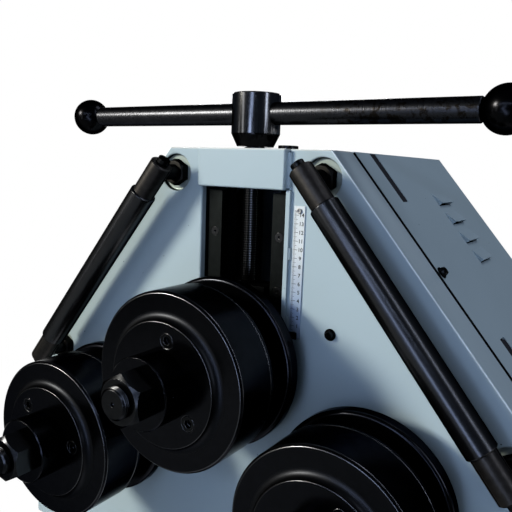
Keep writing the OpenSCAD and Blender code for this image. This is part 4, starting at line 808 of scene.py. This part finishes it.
gloss = add(tree, "ShaderNodeMapRange", {"Value": ends, "To Min": BAR_ROUGH, "To Max": BAR_END_ROUGH})
tree.links.new(colour, steel.inputs["Base Color"])
tree.links.new(metal, steel.inputs["Metallic"])
tree.links.new(gloss, steel.inputs["Roughness"])
tree.links.new(relief, steel.inputs["Normal"])
dress("guide_bars", bar_black, edge=0.5)
# Blackened studs and nuts are dull, with lit corners only
stud_black = blackened("blackened_stud_steel", ("#191919", "#2b2a29"), rough=(0.3, 0.45))[0]
dress("bar_studs", stud_black, edge=0.5)
dress("bar_nuts", stud_black, edge=0.4)
dress("bar_end_screws", screw_black, edge=0.4)

# Rolls
# Turned and blackened rings: a front ring with a raised hub, a rear flange behind the groove, a
# clamp collar and a big hexagon nut on the shaft's thread. Socket screws join the rings.
ROLLS = {"top": (0, 996), "left": (-190, 878), "right": (190, 878)}
NUT_FRONT_Y = PLATE_Y - 205
THREAD_GAP = 0.6
TURNING_HEIGHT_MM = 0.008
FILLET_INNER = 68.9
FILLET_OUTER = 78
FILLET_FADE = 2
FILLET_BLACK = "#222326"
FILLET_ROUGH = 0.37
# Rubbed edges draw thin bright lines, and nuts and shafts are black with clear facets
rubbed_edge = blackened("rubbed_edge_steel", ("#4c4d50", "#606165"), rough=(0.2, 0.3))[0]
nut_steel = blackened("black_nut_steel", ("#252628", "#343538"), rough=(0.2, 0.27))[0]
dress("top_lock_ring", bare_steel, edge=0.2)
for roll, (axis_x, axis_z) in ROLLS.items():
    # Ring steel is black with arcs of light round its curves, and a duller sheen in the hub's fillet
    ring_steel, tree, steel, place, colour = blackened(f"turned_{roll}_ring_steel", ("#1b1c1f", "#24252a"),
                                                       rough=(0.16, 0.24), rim="#a4a4a4")
    spoke = add(tree, "ShaderNodeVectorMath", {0: place, 1: (axis_x * MM, 0, axis_z * MM)},
                operation="SUBTRACT")
    spoke = add(tree, "ShaderNodeVectorMath", {0: spoke, 1: (1, 0, 1)}, operation="MULTIPLY")
    radius = add(tree, "ShaderNodeVectorMath", {0: spoke}, out="Value", operation="LENGTH")
    depth = add(tree, "ShaderNodeSeparateXYZ", {0: place}, out="Y")
    path = add(tree, "ShaderNodeMath", {0: radius, 1: depth}, operation="ADD")
    wave = add(tree, "ShaderNodeMath", {0: path, 1: math.tau / (TURNING_MM * MM)}, operation="MULTIPLY")
    ripple = add(tree, "ShaderNodeMath", {0: wave}, operation="SINE")
    relief = add(tree, "ShaderNodeBump", {"Height": ripple, "Distance": TURNING_HEIGHT_MM * MM,
                                          "Strength": 0.6})
    outside = add(tree, "ShaderNodeMath", {0: radius, 1: FILLET_INNER * MM}, operation="GREATER_THAN")
    fillet = add(tree, "ShaderNodeMapRange", {"Value": radius, "From Min": (FILLET_OUTER + FILLET_FADE) * MM,
                                              "From Max": (FILLET_OUTER - FILLET_FADE) * MM})
    fillet = add(tree, "ShaderNodeMath", {0: fillet, 1: outside}, operation="MULTIPLY")
    colour = add(tree, "ShaderNodeMix", {0: fillet, 6: colour, 7: linear(FILLET_BLACK)}, out=2,
                 data_type="RGBA")
    smooth = steel.inputs["Roughness"].links[0].from_socket
    gloss = add(tree, "ShaderNodeMix", {0: fillet, 2: smooth, 3: FILLET_ROUGH})
    tree.links.new(colour, steel.inputs["Base Color"])
    tree.links.new(gloss, steel.inputs["Roughness"])
    tree.links.new(relief, steel.inputs["Normal"])
    for name in ("rear_flange", "front_ring", "collar"):
        dress(f"{roll}_{name}", ring_steel, edge=0.6, segments=3, edge_wear_and_highlight=rubbed_edge)
    dress(f"{roll}_nut", nut_steel, edge=0.6, segments=3, edge_wear_and_highlight=rubbed_edge)
    dress(f"{roll}_shaft", nut_steel, edge=0.3)
    dress(f"{roll}_screws", screw_black, edge=0.4, segments=3, edge_wear_and_highlight=rubbed_edge)
    shaft_thread = bmesh.new()
    join(shaft_thread, thread(root=16.2, crest=16.95, pitch=2, turns=2.5, steps=48),
         (axis_x, NUT_FRONT_Y - THREAD_GAP, axis_z), OUT_OF_FRONT)
    piece_of(f"{roll}_shaft_thread", shaft_thread, nut_steel, f"{roll}_roll")

# Controls
# A powder-coated sheet box on the stand's front, with a moulded direction switch and a red
# emergency stop on a plain yellow disc. White strokes mark the switch's three places.

# Powder coat is a pale grey with a soft grain; the mouldings are satin black, glossier red and
# satin yellow; the printed strokes are flat white
box_coat = mottled("control_box_powder_coat", ("#b3b8b8", "#c4c8c8"), rough=(0.45, 0.55), grain_mm=0.9)
switch_black = mottled("moulded_switch_plastic", ("#0e0e0f", "#151516"), rough=(0.4, 0.5), grain_mm=0.8)
stop_red = mottled("moulded_stop_red", ("#9e1712", "#b3211a"), rough=(0.25, 0.32), grain_mm=2.0,
                   specular=0.5)
stop_yellow = mottled("moulded_stop_yellow", ("#cda21c", "#d9b02a"), rough=(0.4, 0.5), grain_mm=1.0)
stroke_white = mottled("white_printed_strokes", ("#dcdedd", "#e8e9e8"), rough=(0.5, 0.6), grain_mm=0.6)
dress("control_box", box_coat, edge=2.0, segments=3)
dress("cable_gland", switch_black, edge=0.4)
dress("direction_switch", switch_black, edge=1.0)
dress("emergency_stop", stop_red, edge=1.0, segments=3)

BOX_FRONT_Y = -238
BOX_X = 220
STOP_Z = 431
SWITCH_Z = 502.4
DISC_OUTLINE = [(12, 0), (12, 0.6), (27, 0.6), (27.4, 0.3), (27.4, 0), (12, 0)]
disc = bmesh.new()
join(disc, turned(DISC_OUTLINE, 64), (BOX_X, BOX_FRONT_Y, STOP_Z), OUT_OF_FRONT)
piece_of("stop_disc", disc, stop_yellow, "frame")

SWITCH_DEGREES = (-60, 0, 60)
STROKE_SIZE = (1.6, 0.2, 6)
STROKE_REACH = 28
strokes = bmesh.new()
for angle in SWITCH_DEGREES:
    stroke = bmesh.new()
    bmesh.ops.create_cube(stroke, size=1, matrix=Matrix.Diagonal([c * MM for c in STROKE_SIZE] + [1]))
    bmesh.ops.translate(stroke, vec=(0, 0, STROKE_REACH * MM), verts=stroke.verts)
    join(strokes, stroke, (BOX_X, BOX_FRONT_Y, SWITCH_Z), Matrix.Rotation(math.radians(angle), 3, "Y"))
piece_of("switch_strokes", strokes, stroke_white, "frame")

BOX_SCREW_OUT = 50
BOX_SCREWS_Z = (390, 540)
box_screws = bmesh.new()
for x in (BOX_X - BOX_SCREW_OUT, BOX_X + BOX_SCREW_OUT):
    for z in BOX_SCREWS_Z:
        join(box_screws, turned(BUTTON_OUTLINE, 24), (x, BOX_FRONT_Y, z), OUT_OF_FRONT)
piece_of("box_screws", box_screws, screw_black, "frame")
